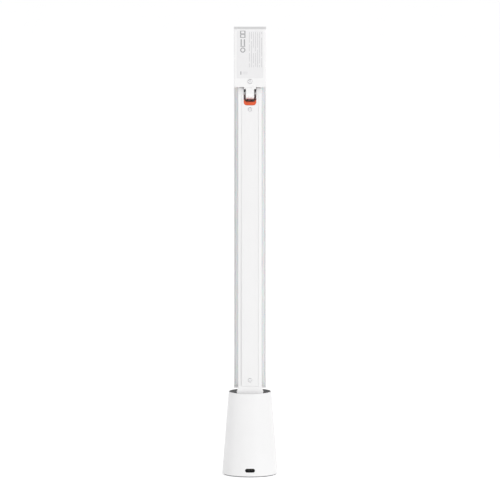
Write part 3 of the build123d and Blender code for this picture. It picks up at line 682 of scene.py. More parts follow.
def arc(centre: Point, radius: float, start: float, end: float, steps: int = 8) -> list[Point]:
    """Returns points along an arc.

    Args:
        centre: the arc's centre.
        radius: its radius.
        start: the first point's direction in degrees.
        end: the last point's direction in degrees.
        steps: how many straight steps it is divided into.

    Returns:
        The points, both ends included.
    """
    angles = [math.radians(start + (end - start) * i / steps) for i in range(steps + 1)]
    return [(centre[0] + radius * math.cos(a), centre[1] + radius * math.sin(a)) for a in angles]


def rounded(low: Point, high: Point, radius: float, steps: int = 8) -> list[Point]:
    """Returns the outline of a rectangle with rounded corners.

    Args:
        low: its lower left corner.
        high: its upper right corner.
        radius: the corners' radius.
        steps: how many steps each corner has.

    Returns:
        The outline, counter-clockwise.
    """
    left, right = low[0] + radius, high[0] - radius
    bottom, top = low[1] + radius, high[1] - radius
    corners = ((right, bottom, -90.0), (right, top, 0.0), (left, top, 90.0), (left, bottom, 180.0))
    return [p for x, y, start in corners for p in arc((x, y), radius, start, start + 90.0, steps)]


# ---- solids --------------------------------------------------------------------------------------------


class Solid:
    """A closed mesh in the making, with the solids that are to be joined to it or cut from it."""

    def __init__(self) -> None:
        """Starts an empty solid."""
        self.mesh = bmesh.new()
        self.tools: list[tuple[str, "Solid"]] = []

    def box(self, low: Sequence[float], high: Sequence[float]) -> "Solid":
        """Adds a block.

        Args:
            low: its lowest corner in metres.
            high: its highest corner in metres.

        Returns:
            This solid.
        """
        low, high = Vector(low), Vector(high)
        place = Matrix.Translation((low + high) / 2) @ Matrix.Diagonal((*(high - low), 1.0))
        bmesh.ops.create_cube(self.mesh, size=1.0, matrix=place)
        return self

    def prism(self, outline: Iterable[Point], axis: Axis, start: float, end: float) -> "Solid":
        """Adds an outline pushed along an axis.

        Args:
            outline: points in the other two axes, in X, Y, Z order, in metres.
            axis: the axis along which it is pushed.
            start: where it starts on that axis.
            end: where it ends.

        Returns:
            This solid.
        """
        spots = {
            Axis.X: lambda a, b: (start, a, b),
            Axis.Y: lambda a, b: (a, start, b),
            Axis.Z: lambda a, b: (a, b, start),
        }
        verts = [self.mesh.verts.new(spots[axis](a, b)) for a, b in outline]
        face = self.mesh.faces.new(verts)
        made = bmesh.ops.extrude_face_region(self.mesh, geom=[face])["geom"]
        push = Vector([end - start if axis is each else 0.0 for each in Axis])
        moved = [item for item in made if isinstance(item, bmesh.types.BMVert)]
        bmesh.ops.translate(self.mesh, verts=moved, vec=push)
        return self.merge()

    def lathe(self, profile: Iterable[Point], steps: int = 160) -> "Solid":
        """Adds a profile turned round the Z axis.

        Args:
            profile: distances from the axis and heights, in metres.
            steps: how many steps a turn has.

        Returns:
            This solid.
        """
        verts = [self.mesh.verts.new((r, 0.0, z)) for r, z in profile]
        edges = [self.mesh.edges.new(pair) for pair in zip(verts, verts[1:])]
        if verts[0].co.x > 0.0:
            edges.append(self.mesh.edges.new((verts[-1], verts[0])))
        turn = {"cent": (0, 0, 0), "axis": (0, 0, 1), "angle": 2 * math.pi}
        bmesh.ops.spin(self.mesh, geom=verts + edges, steps=steps, use_merge=True, **turn)
        return self.merge()

    def merge(self) -> "Solid":
        """Merges doubled points, turns the faces outwards and returns this solid."""
        bmesh.ops.remove_doubles(self.mesh, verts=self.mesh.verts, dist=1e-7)
        bmesh.ops.recalc_face_normals(self.mesh, faces=self.mesh.faces)
        return self

    def bevel(self, chosen: Callable[[bmesh.types.BMEdge], bool], width: float, segments: int = 3) -> "Solid":
        """Rounds the edges that a test picks.

        Args:
            chosen: says whether an edge is rounded.
            width: the rounding's size in metres.
            segments: how many faces it has across.

        Returns:
            This solid.
        """
        edges = [edge for edge in self.mesh.edges if chosen(edge)]
        bmesh.ops.bevel(
            self.mesh,
            geom=edges,
            offset=width,
            offset_type="OFFSET",
            segments=segments,
            profile=0.5,
            affect="EDGES",
            clamp_overlap=True,
            material=-1,
        )
        return self

    def slice(self, axis: Axis, places: Iterable[float]) -> "Solid":
        """Cuts the faces across an axis.

        Args:
            axis: the axis that the cuts are square to.
            places: where the cuts lie on it, in metres.

        Returns:
            This solid.
        """
        normal = [1.0 if axis is each else 0.0 for each in Axis]
        for place in places:
            geometry = self.mesh.verts[:] + self.mesh.edges[:] + self.mesh.faces[:]
            spot = [place * n for n in normal]
            bmesh.ops.bisect_plane(self.mesh, geom=geometry, plane_co=spot, plane_no=normal, dist=1e-7)
        return self

    def taper(
        self, chosen: Callable[[bmesh.types.BMVert], bool], factor: float, about: Sequence[float]
    ) -> "Solid":
        """Scales the points that a test picks.

        Args:
            chosen: says whether a point is scaled.
            factor: the scale.
            about: the point that stays in place.

        Returns:
            This solid.
        """
        verts = [vert for vert in self.mesh.verts if chosen(vert)]
        space = Matrix.Translation(-Vector(about))
        bmesh.ops.scale(self.mesh, vec=(factor,) * 3, space=space, verts=verts)
        return self

    def move(self, matrix: Matrix) -> "Solid":
        """Moves the whole solid by a matrix, and returns it."""
        bmesh.ops.transform(self.mesh, matrix=matrix, verts=self.mesh.verts)
        return self

    def cut(self, *others: "Solid") -> "Solid":
        """Notes solids to cut away when this one is built, and returns this solid."""
        self.tools += [("DIFFERENCE", other) for other in others]
        return self

    def join(self, *others: "Solid") -> "Solid":
        """Notes solids to fuse with this one when it is built, and returns this solid."""
        self.tools += [("UNION", other) for other in others]
        return self

    def shape(self, name: str) -> bpy.types.Object:
        """Makes an object of the mesh, with the noted solids joined and cut away.

        Args:
            name: the object's name.

        Returns:
            The object, linked to the scene.
        """
        made = bpy.data.objects.new(name, bpy.data.meshes.new(name))
        self.mesh.to_mesh(made.data)
        self.mesh.free()
        bpy.context.scene.collection.objects.link(made)
        tools = []
        for operation, solid in self.tools:
            tools.append(solid.shape(f"{name}_tool"))
            modifier = made.modifiers.new("tool", "BOOLEAN")
            modifier.object = tools[-1]
            modifier.operation = operation
            modifier.solver = "EXACT"
        if tools:
            whole = made.evaluated_get(bpy.context.evaluated_depsgraph_get())
            result = bpy.data.meshes.new_from_object(whole)
            made.modifiers.clear()
            made.data = result
        for tool in tools:
            bpy.data.objects.remove(tool)
        return made


@dataclass
class Piece:
    """A visible piece: its name, finish and the CAD nodes that it stands for."""

    name: str
    body: Body
    finish: Finish
    stands_for: tuple[str, ...] = ()
    edge_mm: float = 0.2
    edge_segments: int = 2

    def build(self, solid: Solid) -> bpy.types.Object:
        """Finishes a solid as this piece.

        Args:
            solid: the shape, in its place in the frame.

        Returns:
            The finished object, riding on its body.
        """
        made = solid.shape(self.name)
        made.data.materials.clear()
        made.data.materials.append(material(self.finish))
        made.data.polygons.foreach_set("use_smooth", [True] * len(made.data.polygons))
        if self.edge_mm:
            soften = made.modifiers.new("soften", "BEVEL")
            soften.width = self.edge_mm * MM
            soften.segments = self.edge_segments
            soften.limit_method = "ANGLE"
            soften.angle_limit = math.radians(38.0)
            soften.use_clamp_overlap = True
        weigh = made.modifiers.new("weigh", "WEIGHTED_NORMAL")
        weigh.keep_sharp = True
        weigh.weight = 80
        if self.stands_for:
            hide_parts(*self.stands_for)
            slot_of(self.stands_for[0])
        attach(made, self.body.value)
        log.info("%s: %d faces", self.name, len(made.data.polygons))
        return made


MATERIALS: dict[str, bpy.types.Material] = {}


def material(finish: Finish) -> bpy.types.Material:
    """Returns a finish's material, made once.

    Args:
        finish: the finish.

    Returns:
        Its material, the same one each time.
    """
    if finish.name not in MATERIALS:
        MATERIALS[finish.name] = finish.paint()
    return MATERIALS[finish.name]


def slot_of(node: str) -> str:
    """Returns the record's material slot of a CAD node."""
    return next(part["material_slot"] for part in frame["record"]["subparts"] if part["node"] == node)


def span(node: str) -> tuple[Vector, Vector]:
    """Returns a CAD node's lowest and highest corners in millimetres."""
    low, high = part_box(node)
    return low / MM, high / MM


def metres(points: Iterable[Point]) -> list[Point]:
    """Returns points given in millimetres in metres."""
    return [(a * MM, b * MM) for a, b in points]


def block(low: Sequence[float], high: Sequence[float]) -> Solid:
    """Returns a block whose corners are given in millimetres."""
    return Solid().box([c * MM for c in low], [c * MM for c in high])


def bar(outline: Iterable[Point], axis: Axis, start: float, end: float) -> Solid:
    """Returns a prism whose sizes are given in millimetres."""
    return Solid().prism(metres(outline), axis, start * MM, end * MM)


def rod(centre: Point, radius: float, axis: Axis, start: float, end: float, steps: int = 48) -> Solid:
    """Returns a round bar along an axis, in millimetres."""
    return bar(arc(centre, radius, 0.0, 360.0 - 360.0 / steps, steps - 1), axis, start, end)


# ---- fasteners -----------------------------------------------------------------------------------------


@dataclass
class CrossScrew:
    """A domed screw with a cross recess, facing -Y."""

    diameter_mm: float
    height_mm: float
    shank_mm: float
    length_mm: float

    def solid(self, x: float, y: float, z: float) -> Solid:
        """Returns the screw with the underside of its head at a point.

        Args:
            x: millimetres to the right.
            y: millimetres back.
            z: millimetres up.

        Returns:
            The screw's solid.
        """
        half, top = self.diameter_mm / 2, self.height_mm
        round_off = top * 0.45
        dome = [(half * 0.93 * math.sin(t), top * (0.86 + 0.14 * math.cos(t))) for t in (0.0, 0.35, 0.7, 1.1)]
        rim = arc((half - round_off, top * 0.86 - round_off), round_off, 60.0, 0.0, 4)
        shank = [(half, 0.0), (self.shank_mm / 2, 0.0), (self.shank_mm / 2, -self.length_mm + 0.5)]
        tip = [(self.shank_mm / 4, -self.length_mm), (0.0, -self.length_mm)]
        place = Matrix.Translation(Vector((x, y, z)) * MM) @ Axis.Y.turn()
        screw = Solid().lathe(metres(dome + rim + shank + tip), 48).move(place)
        return screw.cut(self.recess().move(place))

    def recess(self) -> Solid:
        """Makes the cross that is cut into the head.

        Returns:
            The cross, narrower at its floor.
        """
        reach, half, floor = self.diameter_mm * 0.3, self.diameter_mm * 0.075, self.height_mm * 0.4
        above = self.height_mm + 0.3
        corners = ((half, half), (reach, half), (reach, -half))
        turns = ((1, 0), (0, -1), (-1, 0), (0, 1))
        outline = [(x * c - y * s, x * s + y * c) for c, s in turns for x, y in corners]
        cross = bar(outline, Axis.Z, floor, above)
        return cross.taper(lambda vert: vert.co.z < above * 0.9 * MM, 0.72, (0.0, 0.0, floor * MM))


# ---- base ----------------------------------------------------------------------------------------------


@dataclass
class ConeBase:
    """The base: cone, foot pad, touch glass and charging socket."""

    rim_mm: float = 0.9
    land_half_mm: float = 11.6
    fit_mm: float = 0.15
    wall_mm: float = 2.2
    deck_mm: float = 2.0
    top_round_mm: float = 0.5
    foot_round_mm: float = 0.7
    port_gap_mm: float = 0.16
    port_flare: float = 1.09
    socket_wall_mm: float = 0.3
    contact_count: int = 12
    steps: int = 192
    ring_heights_mm: tuple[float, ...] = (60.0, 42.0, 26.0, 16.0, 10.5, 9.2, 4.0, 3.0)
    window_half_mm: float = 8.4
    land_front_mm: float = 5.6
    groove_radii_mm: tuple[float, ...] = (20.5, 16.0, 11.5)
    groove_depth_mm: float = 0.3
    pad_inner_mm: float = 8.0
    pad_edge_mm: float = 0.45
    lens_count: int = 4
    lens_gap_mm: float = 0.05
    mark_ahead_mm: float = 9.5
    tongue_half_mm: float = 3.35
    tongue_rise_mm: float = 0.35
    contact_pitch_mm: float = 0.5
    contact_half_mm: float = 0.13
    shell: tuple[Vector, Vector] = field(default_factory=lambda: span("base_shell"))
    panel: tuple[Vector, Vector] = field(default_factory=lambda: span("touch_panel"))
    socket: tuple[Vector, Vector] = field(default_factory=lambda: span("usb_c_socket"))

    def radius(self, height: float) -> float:
        """Returns the cone's outer radius.

        Args:
            height: the height in millimetres.

        Returns:
            The radius there, in millimetres.
        """
        low, high = self.shell
        top = self.panel[1].x + self.rim_mm
        share = (height - low.z) / (high.z - low.z)
        return high.x + (top - high.x) * share

    def build(self) -> None:
        """Builds every piece of the base."""
        self.build_cone()
        self.build_pad()
        self.build_glass()
        self.build_socket()

    def build_cone(self) -> None:
        """Builds the white cone with its rim, deck and port."""
        low, high = self.shell
        panel_low, panel_high = self.panel
        lean = math.degrees(math.atan((self.radius(low.z) - self.radius(high.z)) / (high.z - low.z)))
        seat, deck = panel_high.x + self.fit_mm, panel_low.z
        under = deck - self.deck_mm
        top_arc = (self.radius(high.z) - self.top_round_mm, high.z - self.top_round_mm)
        foot_arc = (self.radius(low.z) - self.foot_round_mm, low.z + self.foot_round_mm)
        rings = [(self.radius(z), z) for z in self.ring_heights_mm]
        profile = [
            (0.0, high.z),
            *arc(top_arc, self.top_round_mm, 90.0, lean, 6),
            *rings,
            *arc(foot_arc, self.foot_round_mm, lean, -90.0, 7),
            (self.radius(low.z) - self.wall_mm, low.z),
            (self.radius(under) - self.wall_mm, under),
            (0.0, under),
        ]
        cone = Solid().lathe(metres(profile), self.steps)
        spine_low, spine_high = span("arm_spine")
        half = self.window_half_mm
        window = block((-half, spine_low.y - 2.8, under - 1.0), (half, spine_high.y + 3.0, deck + 1.0))
        recess = bar(self.panel_outline(seat, 0.0), Axis.Z, deck, high.z + 1.0)
        piece = Piece("base_cone", Body.BASE, SHELL_WHITE, ("base_shell",), 0.12)
        piece.build(cone.cut(recess, self.port(), window))

    def panel_outline(self, radius: float, gap: float) -> list[Point]:
        """Returns the panel's outline: a disc with the land under the arm left out.

        Args:
            radius: the disc's radius in millimetres.
            gap: the clearance round the land.

        Returns:
            The outline, counter-clockwise.
        """
        half = self.land_half_mm + gap
        front = joint_place().y + self.land_front_mm + gap
        corner = math.degrees(math.acos(half / radius))
        return [*arc((0.0, 0.0), radius, -corner, 180.0 + corner, 150), (-half, front), (half, front)]

    def port(self) -> Solid:
        """Makes the flared slot that is cut for the charging socket.

        Returns:
            The slot.
        """
        low, high = self.socket
        gap = self.port_gap_mm
        corners = (low.x - gap, low.z - gap), (high.x + gap, high.z + gap)
        outline = rounded(*corners, (high.z - low.z) / 2 + gap - 0.001, 10)
        mouth, middle = -self.shell[1].x - 0.6, (low + high) / 2
        hole = bar(outline, Axis.Y, mouth, -self.shell[1].x + 4.0).slice(Axis.Y, [(low.y - 0.1) * MM])
        return hole.taper(
            lambda vert: vert.co.y < (mouth + 0.2) * MM, self.port_flare, (0.0, mouth * MM, middle.z * MM)
        )

    def build_pad(self) -> None:
        """Builds the rubber pad with three grooves turned in its underside."""
        high = span("foot_pad")[1]
        inner, edge, depth = self.pad_inner_mm, self.pad_edge_mm, self.groove_depth_mm
        grooves = []
        for ring in self.groove_radii_mm:
            grooves += [(ring + 0.6, 0.0), (ring + 0.45, depth), (ring - 0.45, depth), (ring - 0.6, 0.0)]
        profile = [
            (inner, high.z),
            (high.x, high.z),
            (high.x, edge),
            *arc((high.x - edge, edge), edge, 0.0, -90.0, 5),
            *grooves,
            (inner + depth, 0.0),
            (inner, depth),
        ]
        pad = Solid().lathe(metres(profile), self.steps)
        Piece("foot_ring", Body.BASE, PAD_GREY, ("foot_pad",), 0.0).build(pad)

    def build_glass(self) -> None:
        """Builds the black glass, cut away round the arm's land and drilled for the four lenses."""
        low, high = self.panel
        glass = bar(self.panel_outline(high.x, self.fit_mm), Axis.Z, low.z, high.z)
        lens_low, lens_high = span("indicator_lenses")
        radius, across = (lens_high.y - lens_low.y) / 2, (lens_high.x - lens_low.x)
        for i in range(self.lens_count):
            x = lens_low.x + radius + i * (across - 2 * radius) / (self.lens_count - 1)
            bore = radius + self.lens_gap_mm
            glass.cut(rod((x, lens_low.y + radius), bore, Axis.Z, low.z - 1.0, high.z + 1.0, 24))
        finish = GlassPanel("touch_glass", (0.006, 0.006, 0.007), (0.0, self.mark_ahead_mm * MM, 0.0))
        Piece("touch_disc", Body.BASE, finish, ("touch_panel",), 0.12, 3).build(glass)

    def build_socket(self) -> None:
        """Builds the charging socket: shell, tongue and contacts."""
        low, high = self.socket
        wall, half = self.socket_wall_mm, (high.z - low.z) / 2
        shell = bar(rounded((low.x, low.z), (high.x, high.z), half - 0.001, 10), Axis.Y, low.y, high.y)
        corners = (low.x + wall, low.z + wall), (high.x - wall, high.z - wall)
        inside = rounded(*corners, half - wall - 0.001, 10)
        shell.cut(bar(inside, Axis.Y, low.y - 1.0, high.y - 1.0))
        Piece("socket_shell", Body.BASE, SOCKET_SHELL, ("usb_c_socket",), 0.08).build(shell)
        middle = (low.z + high.z) / 2
        width, rise = self.tongue_half_mm, self.tongue_rise_mm
        tongue = block((-width, low.y + 0.9, middle - rise), (width, high.y - 0.9, middle + rise))
        Piece("socket_tongue", Body.BASE, SOCKET_BLACK, (), 0.12).build(tongue)
        contacts = Solid()
        for i in range(self.contact_count):
            x = (i - (self.contact_count - 1) / 2) * self.contact_pitch_mm
            for side in (-1, 1):
                face, reach = middle + side * (rise + 0.005), self.contact_half_mm
                corner = (x - reach, low.y + 1.4, face - 0.02), (x + reach, low.y + 4.4, face + 0.02)
                contacts.box(*([c * MM for c in point] for point in corner))
        Piece("socket_contacts", Body.BASE, CONTACT_GOLD, (), 0.0).build(contacts)


def joint_place() -> Vector:
    """Returns the hinge pin's middle in millimetres."""
    return Vector(frame["joints"][0]["pos_m"]) / MM


# ---- arm -----------------------------------------------------------------------------------------------


@dataclass
class Arm:
    """The arm: flared shell, let-in cover, its screws and the hinge slot's liner."""

    width_mm: float = 22.0
    edge_mm: float = 1.6
    wall_mm: float = 2.0
    flare_mm: float = 1.7
    flare_height_mm: float = 6.0
    slot_half_mm: float = 5.9
    slot_corner_mm: float = 3.0
    crown_mm: float = 0.25
    cover_fit_mm: float = 0.07
    liner_gap_mm: float = 0.05
    flare_power: float = 1.7
    pocket_mm: float = 3.3
    screw_sink_mm: float = 0.9
    screw_bore_mm: float = 2.0
    shank_bore_mm: float = 0.95
    screw: CrossScrew = field(default_factory=lambda: CrossScrew(3.6, 0.7, 1.5, 6.0))
    low: Vector = field(default_factory=lambda: span("arm_shell")[0])
    high: Vector = field(default_factory=lambda: span("arm_shell")[1])
    pin: Vector = field(default_factory=joint_place)
    cover: tuple[Vector, Vector] = field(default_factory=lambda: span("arm_cover"))
    liner: tuple[Vector, Vector] = field(default_factory=lambda: span("slot_liner"))

    def build(self) -> None:
        """Builds every piece of the arm."""
        self.build_shell()
        self.build_cover()
        self.build_screws()
        self.build_liner()

    def build_shell(self) -> None:
        """Builds the shell: a rounded slab, flared at its foot and forked at its top."""
        half, reach = self.width_mm / 2, self.high.z - self.pin.z
        rear, front = self.pin.y - reach, self.pin.y + reach
        top = arc((self.pin.y, self.pin.z), reach, 180.0, 0.0, 40)
        outline = [(rear, self.low.z), *top, (front, self.low.z)]
        slab = bar(outline, Axis.X, -half, half)
        foot = (self.low.z + 0.01) * MM
        side = half * MM * 0.999
        slab.bevel(
            lambda e: all(abs(v.co.x) > side for v in e.verts) and any(v.co.z > foot for v in e.verts),
            self.edge_mm * MM,
            5,
        )
        steps = [self.low.z + self.flare_height_mm * i / 9 for i in range(1, 10)]
        slab.slice(Axis.Z, [z * MM for z in steps])
        self.flare(slab)
        slab.cut(*self.openings(rear, front))
        Piece("arm_body", Body.BASE, ARM_WHITE, ("arm_shell",), 0.18).build(slab)

    def flare(self, slab: Solid) -> None:
        """Spreads the slab's foot, kept inside the base's rim.

        Args:
            slab: the arm's slab, already divided where it spreads.
        """
        half, limit = self.width_mm / 2 * MM, (span("touch_panel")[1].x - 0.3) * MM
        top = (self.low.z + self.flare_height_mm) * MM
        for vert in slab.mesh.verts:
            drop = max(0.0, (top - vert.co.z) / (self.flare_height_mm * MM))
            spread = 1.0 + self.flare_mm * MM / half * drop**self.flare_power
            vert.co.x *= spread
            vert.co.y = self.pin.y * MM + (vert.co.y - self.pin.y * MM) * spread
            reach = math.hypot(vert.co.x, vert.co.y)
            if drop > 0.0 and reach > limit:
                vert.co.x *= limit / reach
                vert.co.y *= limit / reach

    def openings(self, rear: float, front: float) -> list[Solid]:
        """Returns what is cut from the shell.

        Args:
            rear: the arm's rear face in millimetres.
            front: its front face.

        Returns:
            The slot, the cavity, the cover's seat and opening, the hinge pockets and the pin's holes.
        """
        cover_low, cover_high = self.cover
        bracket_low, bracket_high = span("hinge_bracket")
        ceiling = self.liner[0].z - self.liner_gap_mm - 2.4
        inner = bracket_high.x + 0.2
        back, fore = self.pin.y - 3.32, front - self.wall_mm
        fit = self.cover_fit_mm
        seat = rounded((cover_low.x - fit, cover_low.z - fit), (cover_high.x + fit, cover_high.z + fit), 1.1)
        cuts = [
            self.slot(),
            block((-inner, back, self.low.z - 1.0), (inner, fore, ceiling)),
            bar(seat, Axis.Y, rear - 1.0, cover_high.y),
            block((-6.9, rear + 0.5, cover_low.z + 4.0), (6.9, back + 0.5, ceiling - 3.0)),
            rod((self.pin.y, self.pin.z), 2.3, Axis.X, -bracket_high.x, bracket_high.x),
        ]
        for side in (-1.0, 1.0):
            edges = sorted((side * (self.slot_half_mm + 1.0), side * (span("hinge_nut")[1].x + 0.3)))
            pocket = [
                (self.pin.y + self.pocket_mm, bracket_low.z),
                *arc((self.pin.y, self.pin.z), self.pocket_mm, 0.0, 180.0, 20),
                (self.pin.y - self.pocket_mm, bracket_low.z),
            ]
            cuts.append(bar(pocket, Axis.X, *edges))
        return cuts

    def slot(self) -> Solid:
        """Makes the slot that forks the arm's top.

        Returns:
            The slot, also cut from the cover.
        """
        low = self.liner[0].z - self.liner_gap_mm
        half = self.slot_half_mm
        outline = rounded((-half, low), (half, self.high.z + 20.0), self.slot_corner_mm)
        return bar(outline, Axis.Y, self.low.y - 3.0, self.high.y + 3.0)

    def build_cover(self) -> None:
        """Builds the slightly crowned cover strip, forked by the slot, with its two counterbored holes."""
        low, high = self.cover
        half = high.x
        crown = [(half - half * 2 * i / 16, low.y + self.crown_mm * (1 - 2 * i / 16) ** 2) for i in range(17)]
        plate = bar([*crown, (-half, high.y), (half, high.y)], Axis.Z, low.z, high.z)
        plate.bevel(self.is_corner(half), 1.0 * MM, 6)
        plate.cut(self.slot())
        for height in self.screw_heights():
            seat = low.y + self.screw_sink_mm
            plate.cut(rod((0.0, height), self.screw_bore_mm, Axis.Y, low.y - 1.0, seat))
            plate.cut(rod((0.0, height), self.shank_bore_mm, Axis.Y, low.y, high.y + 1.0))
        Piece("arm_cover_strip", Body.BASE, COVER_WHITE, ("arm_cover",), 0.07, 2).build(plate)

    @staticmethod
    def is_corner(half: float) -> Callable[[bmesh.types.BMEdge], bool]:
        """Returns a test for the edges across a strip's thickness at its corners.

        Args:
            half: half the strip's width in millimetres.

        Returns:
            The test.
        """
        side = (half - 0.001) * MM

        def picked(edge: bmesh.types.BMEdge) -> bool:
            """Says whether an edge is level and at the strip's side."""
            first, second = (vert.co for vert in edge.verts)
            return min(abs(first.x), abs(second.x)) > side and abs(first.z - second.z) < 1e-6

        return picked

    def screw_heights(self) -> tuple[float, float]:
        """Returns the heights of the arm's two screws in millimetres."""
        low, high = span("arm_screws")
        half = self.screw.diameter_mm / 2
        return low.z + half, high.z - half

    def build_screws(self) -> None:
        """Builds the two screws in the cover."""
        low_z, high_z = self.screw_heights()
        seat = self.cover[0].y + self.screw_sink_mm
        names = (("arm_screw_low", low_z, ("arm_screws",)), ("arm_screw_high", high_z, ()))
        for name, height, nodes in names:
            Piece(name, Body.BASE, SCREW_STEEL, nodes, 0.05).build(self.screw.solid(0.0, seat, height))

    def build_liner(self) -> None:
        """Builds the orange cradle in the bottom of the slot."""
        low, high = self.liner
        outer, inner, lip = self.slot_corner_mm - 0.1, self.slot_corner_mm - 0.5, 0.6
        floor = high.z - 2.0
        outline = [
            (low.x, high.z),
            *arc((low.x + outer, low.z + outer), outer, 180.0, 270.0),
            *arc((high.x - outer, low.z + outer), outer, 270.0, 360.0),
            (high.x, high.z),
            (high.x - lip, high.z),
            *arc((high.x - lip - inner, floor + inner), inner, 0.0, -90.0)[2:],
            *arc((low.x + lip + inner, floor + inner), inner, 270.0, 180.0)[:-2],
            (low.x + lip, high.z),
        ]
        Piece("slot_cradle", Body.BASE, LINER_ORANGE, ("slot_liner",), 0.25, 3).build(
            bar(outline, Axis.Y, low.y, high.y)
        )


# ---- head ----------------------------------------------------------------------------------------------


@dataclass
class Head:
    """The light bar: housing with its tail block, end cap, rating plate, tongue and diffuser."""

    wall_mm: float = 1.6
    front_round_mm: float = 1.6
    recess_mm: float = 0.15
    shoulder_half_mm: float = 5.6
    tail_bore_mm: float = 2.4
    plate_round_mm: float = 1.2
    label_rise_mm: float = 0.12
    label_margin_mm: float = 2.6
    boss_mm: float = 2.3
    shank_bore_mm: float = 1.2
    screw_sink_mm: float = 1.0
    eye_mm: float = 5.6
    tongue_half_mm: float = 3.85
    pin_bore_mm: float = 2.02
    screw: CrossScrew = field(default_factory=lambda: CrossScrew(4.0, 0.8, 2.2, 9.4))
    pin: Vector = field(default_factory=joint_place)
    housing: tuple[Vector, Vector] = field(default_factory=lambda: span("head_housing"))
    plate: tuple[Vector, Vector] = field(default_factory=lambda: span("tail_cover"))
    opal: tuple[Vector, Vector] = field(default_factory=lambda: span("diffuser"))
    tail: float = field(default_factory=lambda: span("tail_cover")[0].z)

    def build(self) -> None:
        """Builds every piece of the head."""
        self.build_housing()
        self.build_cap()
        self.build_plate()
        self.build_tongue()
        self.build_diffuser()

    def build_housing(self) -> None:
        """Builds the long housing and its tail block as one hollow moulding."""
        low, high = self.housing
        back, tail = self.opal[0].y, self.tail
        outline = [(back, low.z), (high.y, low.z), (high.y, high.z)]
        outline += [(low.y, high.z), (low.y, tail), (back, tail)]
        hull = bar(outline, Axis.X, low.x, high.x)
        hull.bevel(self.is_front_edge(high), self.front_round_mm * MM, 5)
        inner = high.x - self.wall_mm - 0.2
        floor, gap = high.y - self.wall_mm, self.recess_mm
        seat_low, seat_high = self.opal
        seat_corner = (seat_high.x + gap, seat_high.y, seat_high.z + gap)
        hull.cut(
            block((-inner, back - 1.0, low.z - 1.0), (inner, floor, tail)),
            block((seat_low.x - gap, back - 1.0, low.z - 1.0), seat_corner),
            block((-inner, low.y - 1.0, tail + self.wall_mm), (inner, floor, high.z - self.wall_mm)),
            block((-10.0, back + 2.2, tail - 1.0), (10.0, floor, tail + self.wall_mm + 1.0)),
            block((-4.0, self.pin.y - 4.35, tail - 1.0), (4.0, self.pin.y + 4.15, tail + self.wall_mm + 1.0)),
        )
        Piece("light_bar_housing", Body.HEAD, SHELL_WHITE, ("head_housing",), 0.3, 3).build(hull)

    @staticmethod
    def is_front_edge(high: Vector) -> Callable[[bmesh.types.BMEdge], bool]:
        """Returns a test for the two long edges of a part's front.

        Args:
            high: the part's highest corner in millimetres.

        Returns:
            The test.
        """
        face, side = (high.y - 0.01) * MM, (high.x - 0.01) * MM
        return lambda edge: all(abs(v.co.x) > side and v.co.y > face for v in edge.verts)

    def build_cap(self) -> None:
        """Builds the cap that closes the bar's lower end, with the lip that plugs into it."""
        low, high = span("end_cap")
        seam = self.housing[0].z
        cap = block(low, (high.x, high.y, seam))
        cap.bevel(self.is_front_edge(high), self.front_round_mm * MM, 5)
        floor = (low.z + 0.01) * MM
        cap.bevel(lambda e: all(v.co.z < floor for v in e.verts), 0.7 * MM, 4)
        inner = self.housing[1].x - self.wall_mm - 0.4
        lip = (-inner, self.opal[1].y + 0.4, seam - 0.4), (inner, high.y - self.wall_mm - 0.15, high.z)
        cap.box(*([c * MM for c in corner] for corner in lip))
        Piece("bar_end_cap", Body.HEAD, SHELL_WHITE, ("end_cap",), 0.15).build(cap)

    def build_plate(self) -> None:
        """Builds the plate on the tail block's rear, its boss and its screw."""
        low, high = self.plate
        seat, face = self.housing[0].y, low.y + self.label_rise_mm
        screw_z = (span("tail_screw")[0].z + span("tail_screw")[1].z) / 2
        plate = block((low.x, face, low.z), (high.x, seat, high.z))
        rear, foot = (face + 0.01) * MM, (low.z + 0.01) * MM
        plate.bevel(
            lambda edge: all(v.co.y < rear for v in edge.verts) and any(v.co.z > foot for v in edge.verts),
            self.plate_round_mm * MM,
            7,
        )
        sunk = low.y + self.screw_sink_mm
        plate.cut(rod((0.0, screw_z), self.tail_bore_mm, Axis.Y, low.y - 1.0, sunk, 64))
        plate.cut(rod((0.0, screw_z), self.shank_bore_mm, Axis.Y, low.y, high.y + 1.0))
        Piece("tail_plate", Body.HEAD, SHELL_WHITE, ("tail_cover",), 0.12, 2).build(plate)
        boss = rod((0.0, screw_z), self.boss_mm, Axis.Y, seat - 0.2, high.y, 48)
        boss.cut(rod((0.0, screw_z), self.shank_bore_mm, Axis.Y, seat - 1.0, high.y + 1.0))
        Piece("tail_plate_boss", Body.HEAD, HIDDEN_WHITE, (), 0.1).build(boss)
        screw = self.screw.solid(0.0, sunk, screw_z)
        Piece("tail_plate_screw", Body.HEAD, SCREW_STEEL, ("tail_screw",), 0.06).build(screw)
        self.build_label(screw_z + self.tail_bore_mm + 0.6)

    def build_label(self, bottom: float) -> None:
        """Builds the raised panel that carries the printed rules and shapes.

        Args:
            bottom: the height of its lower edge in millimetres.
        """
        low, high = self.plate
        side = high.x - self.label_margin_mm
        outline = rounded((-side, bottom), (side, high.z - 1.5), 0.9)
        centre = (0.0, low.y * MM, (low.z + high.z) / 2 * MM)
        finish = RatingPlate("rating_label", GREY_WHITE, roughness=0.36, centre=centre)
        Piece("rating_label", Body.HEAD, finish, (), 0.08).build(bar(outline, Axis.Y, low.y, low.y + 0.4))

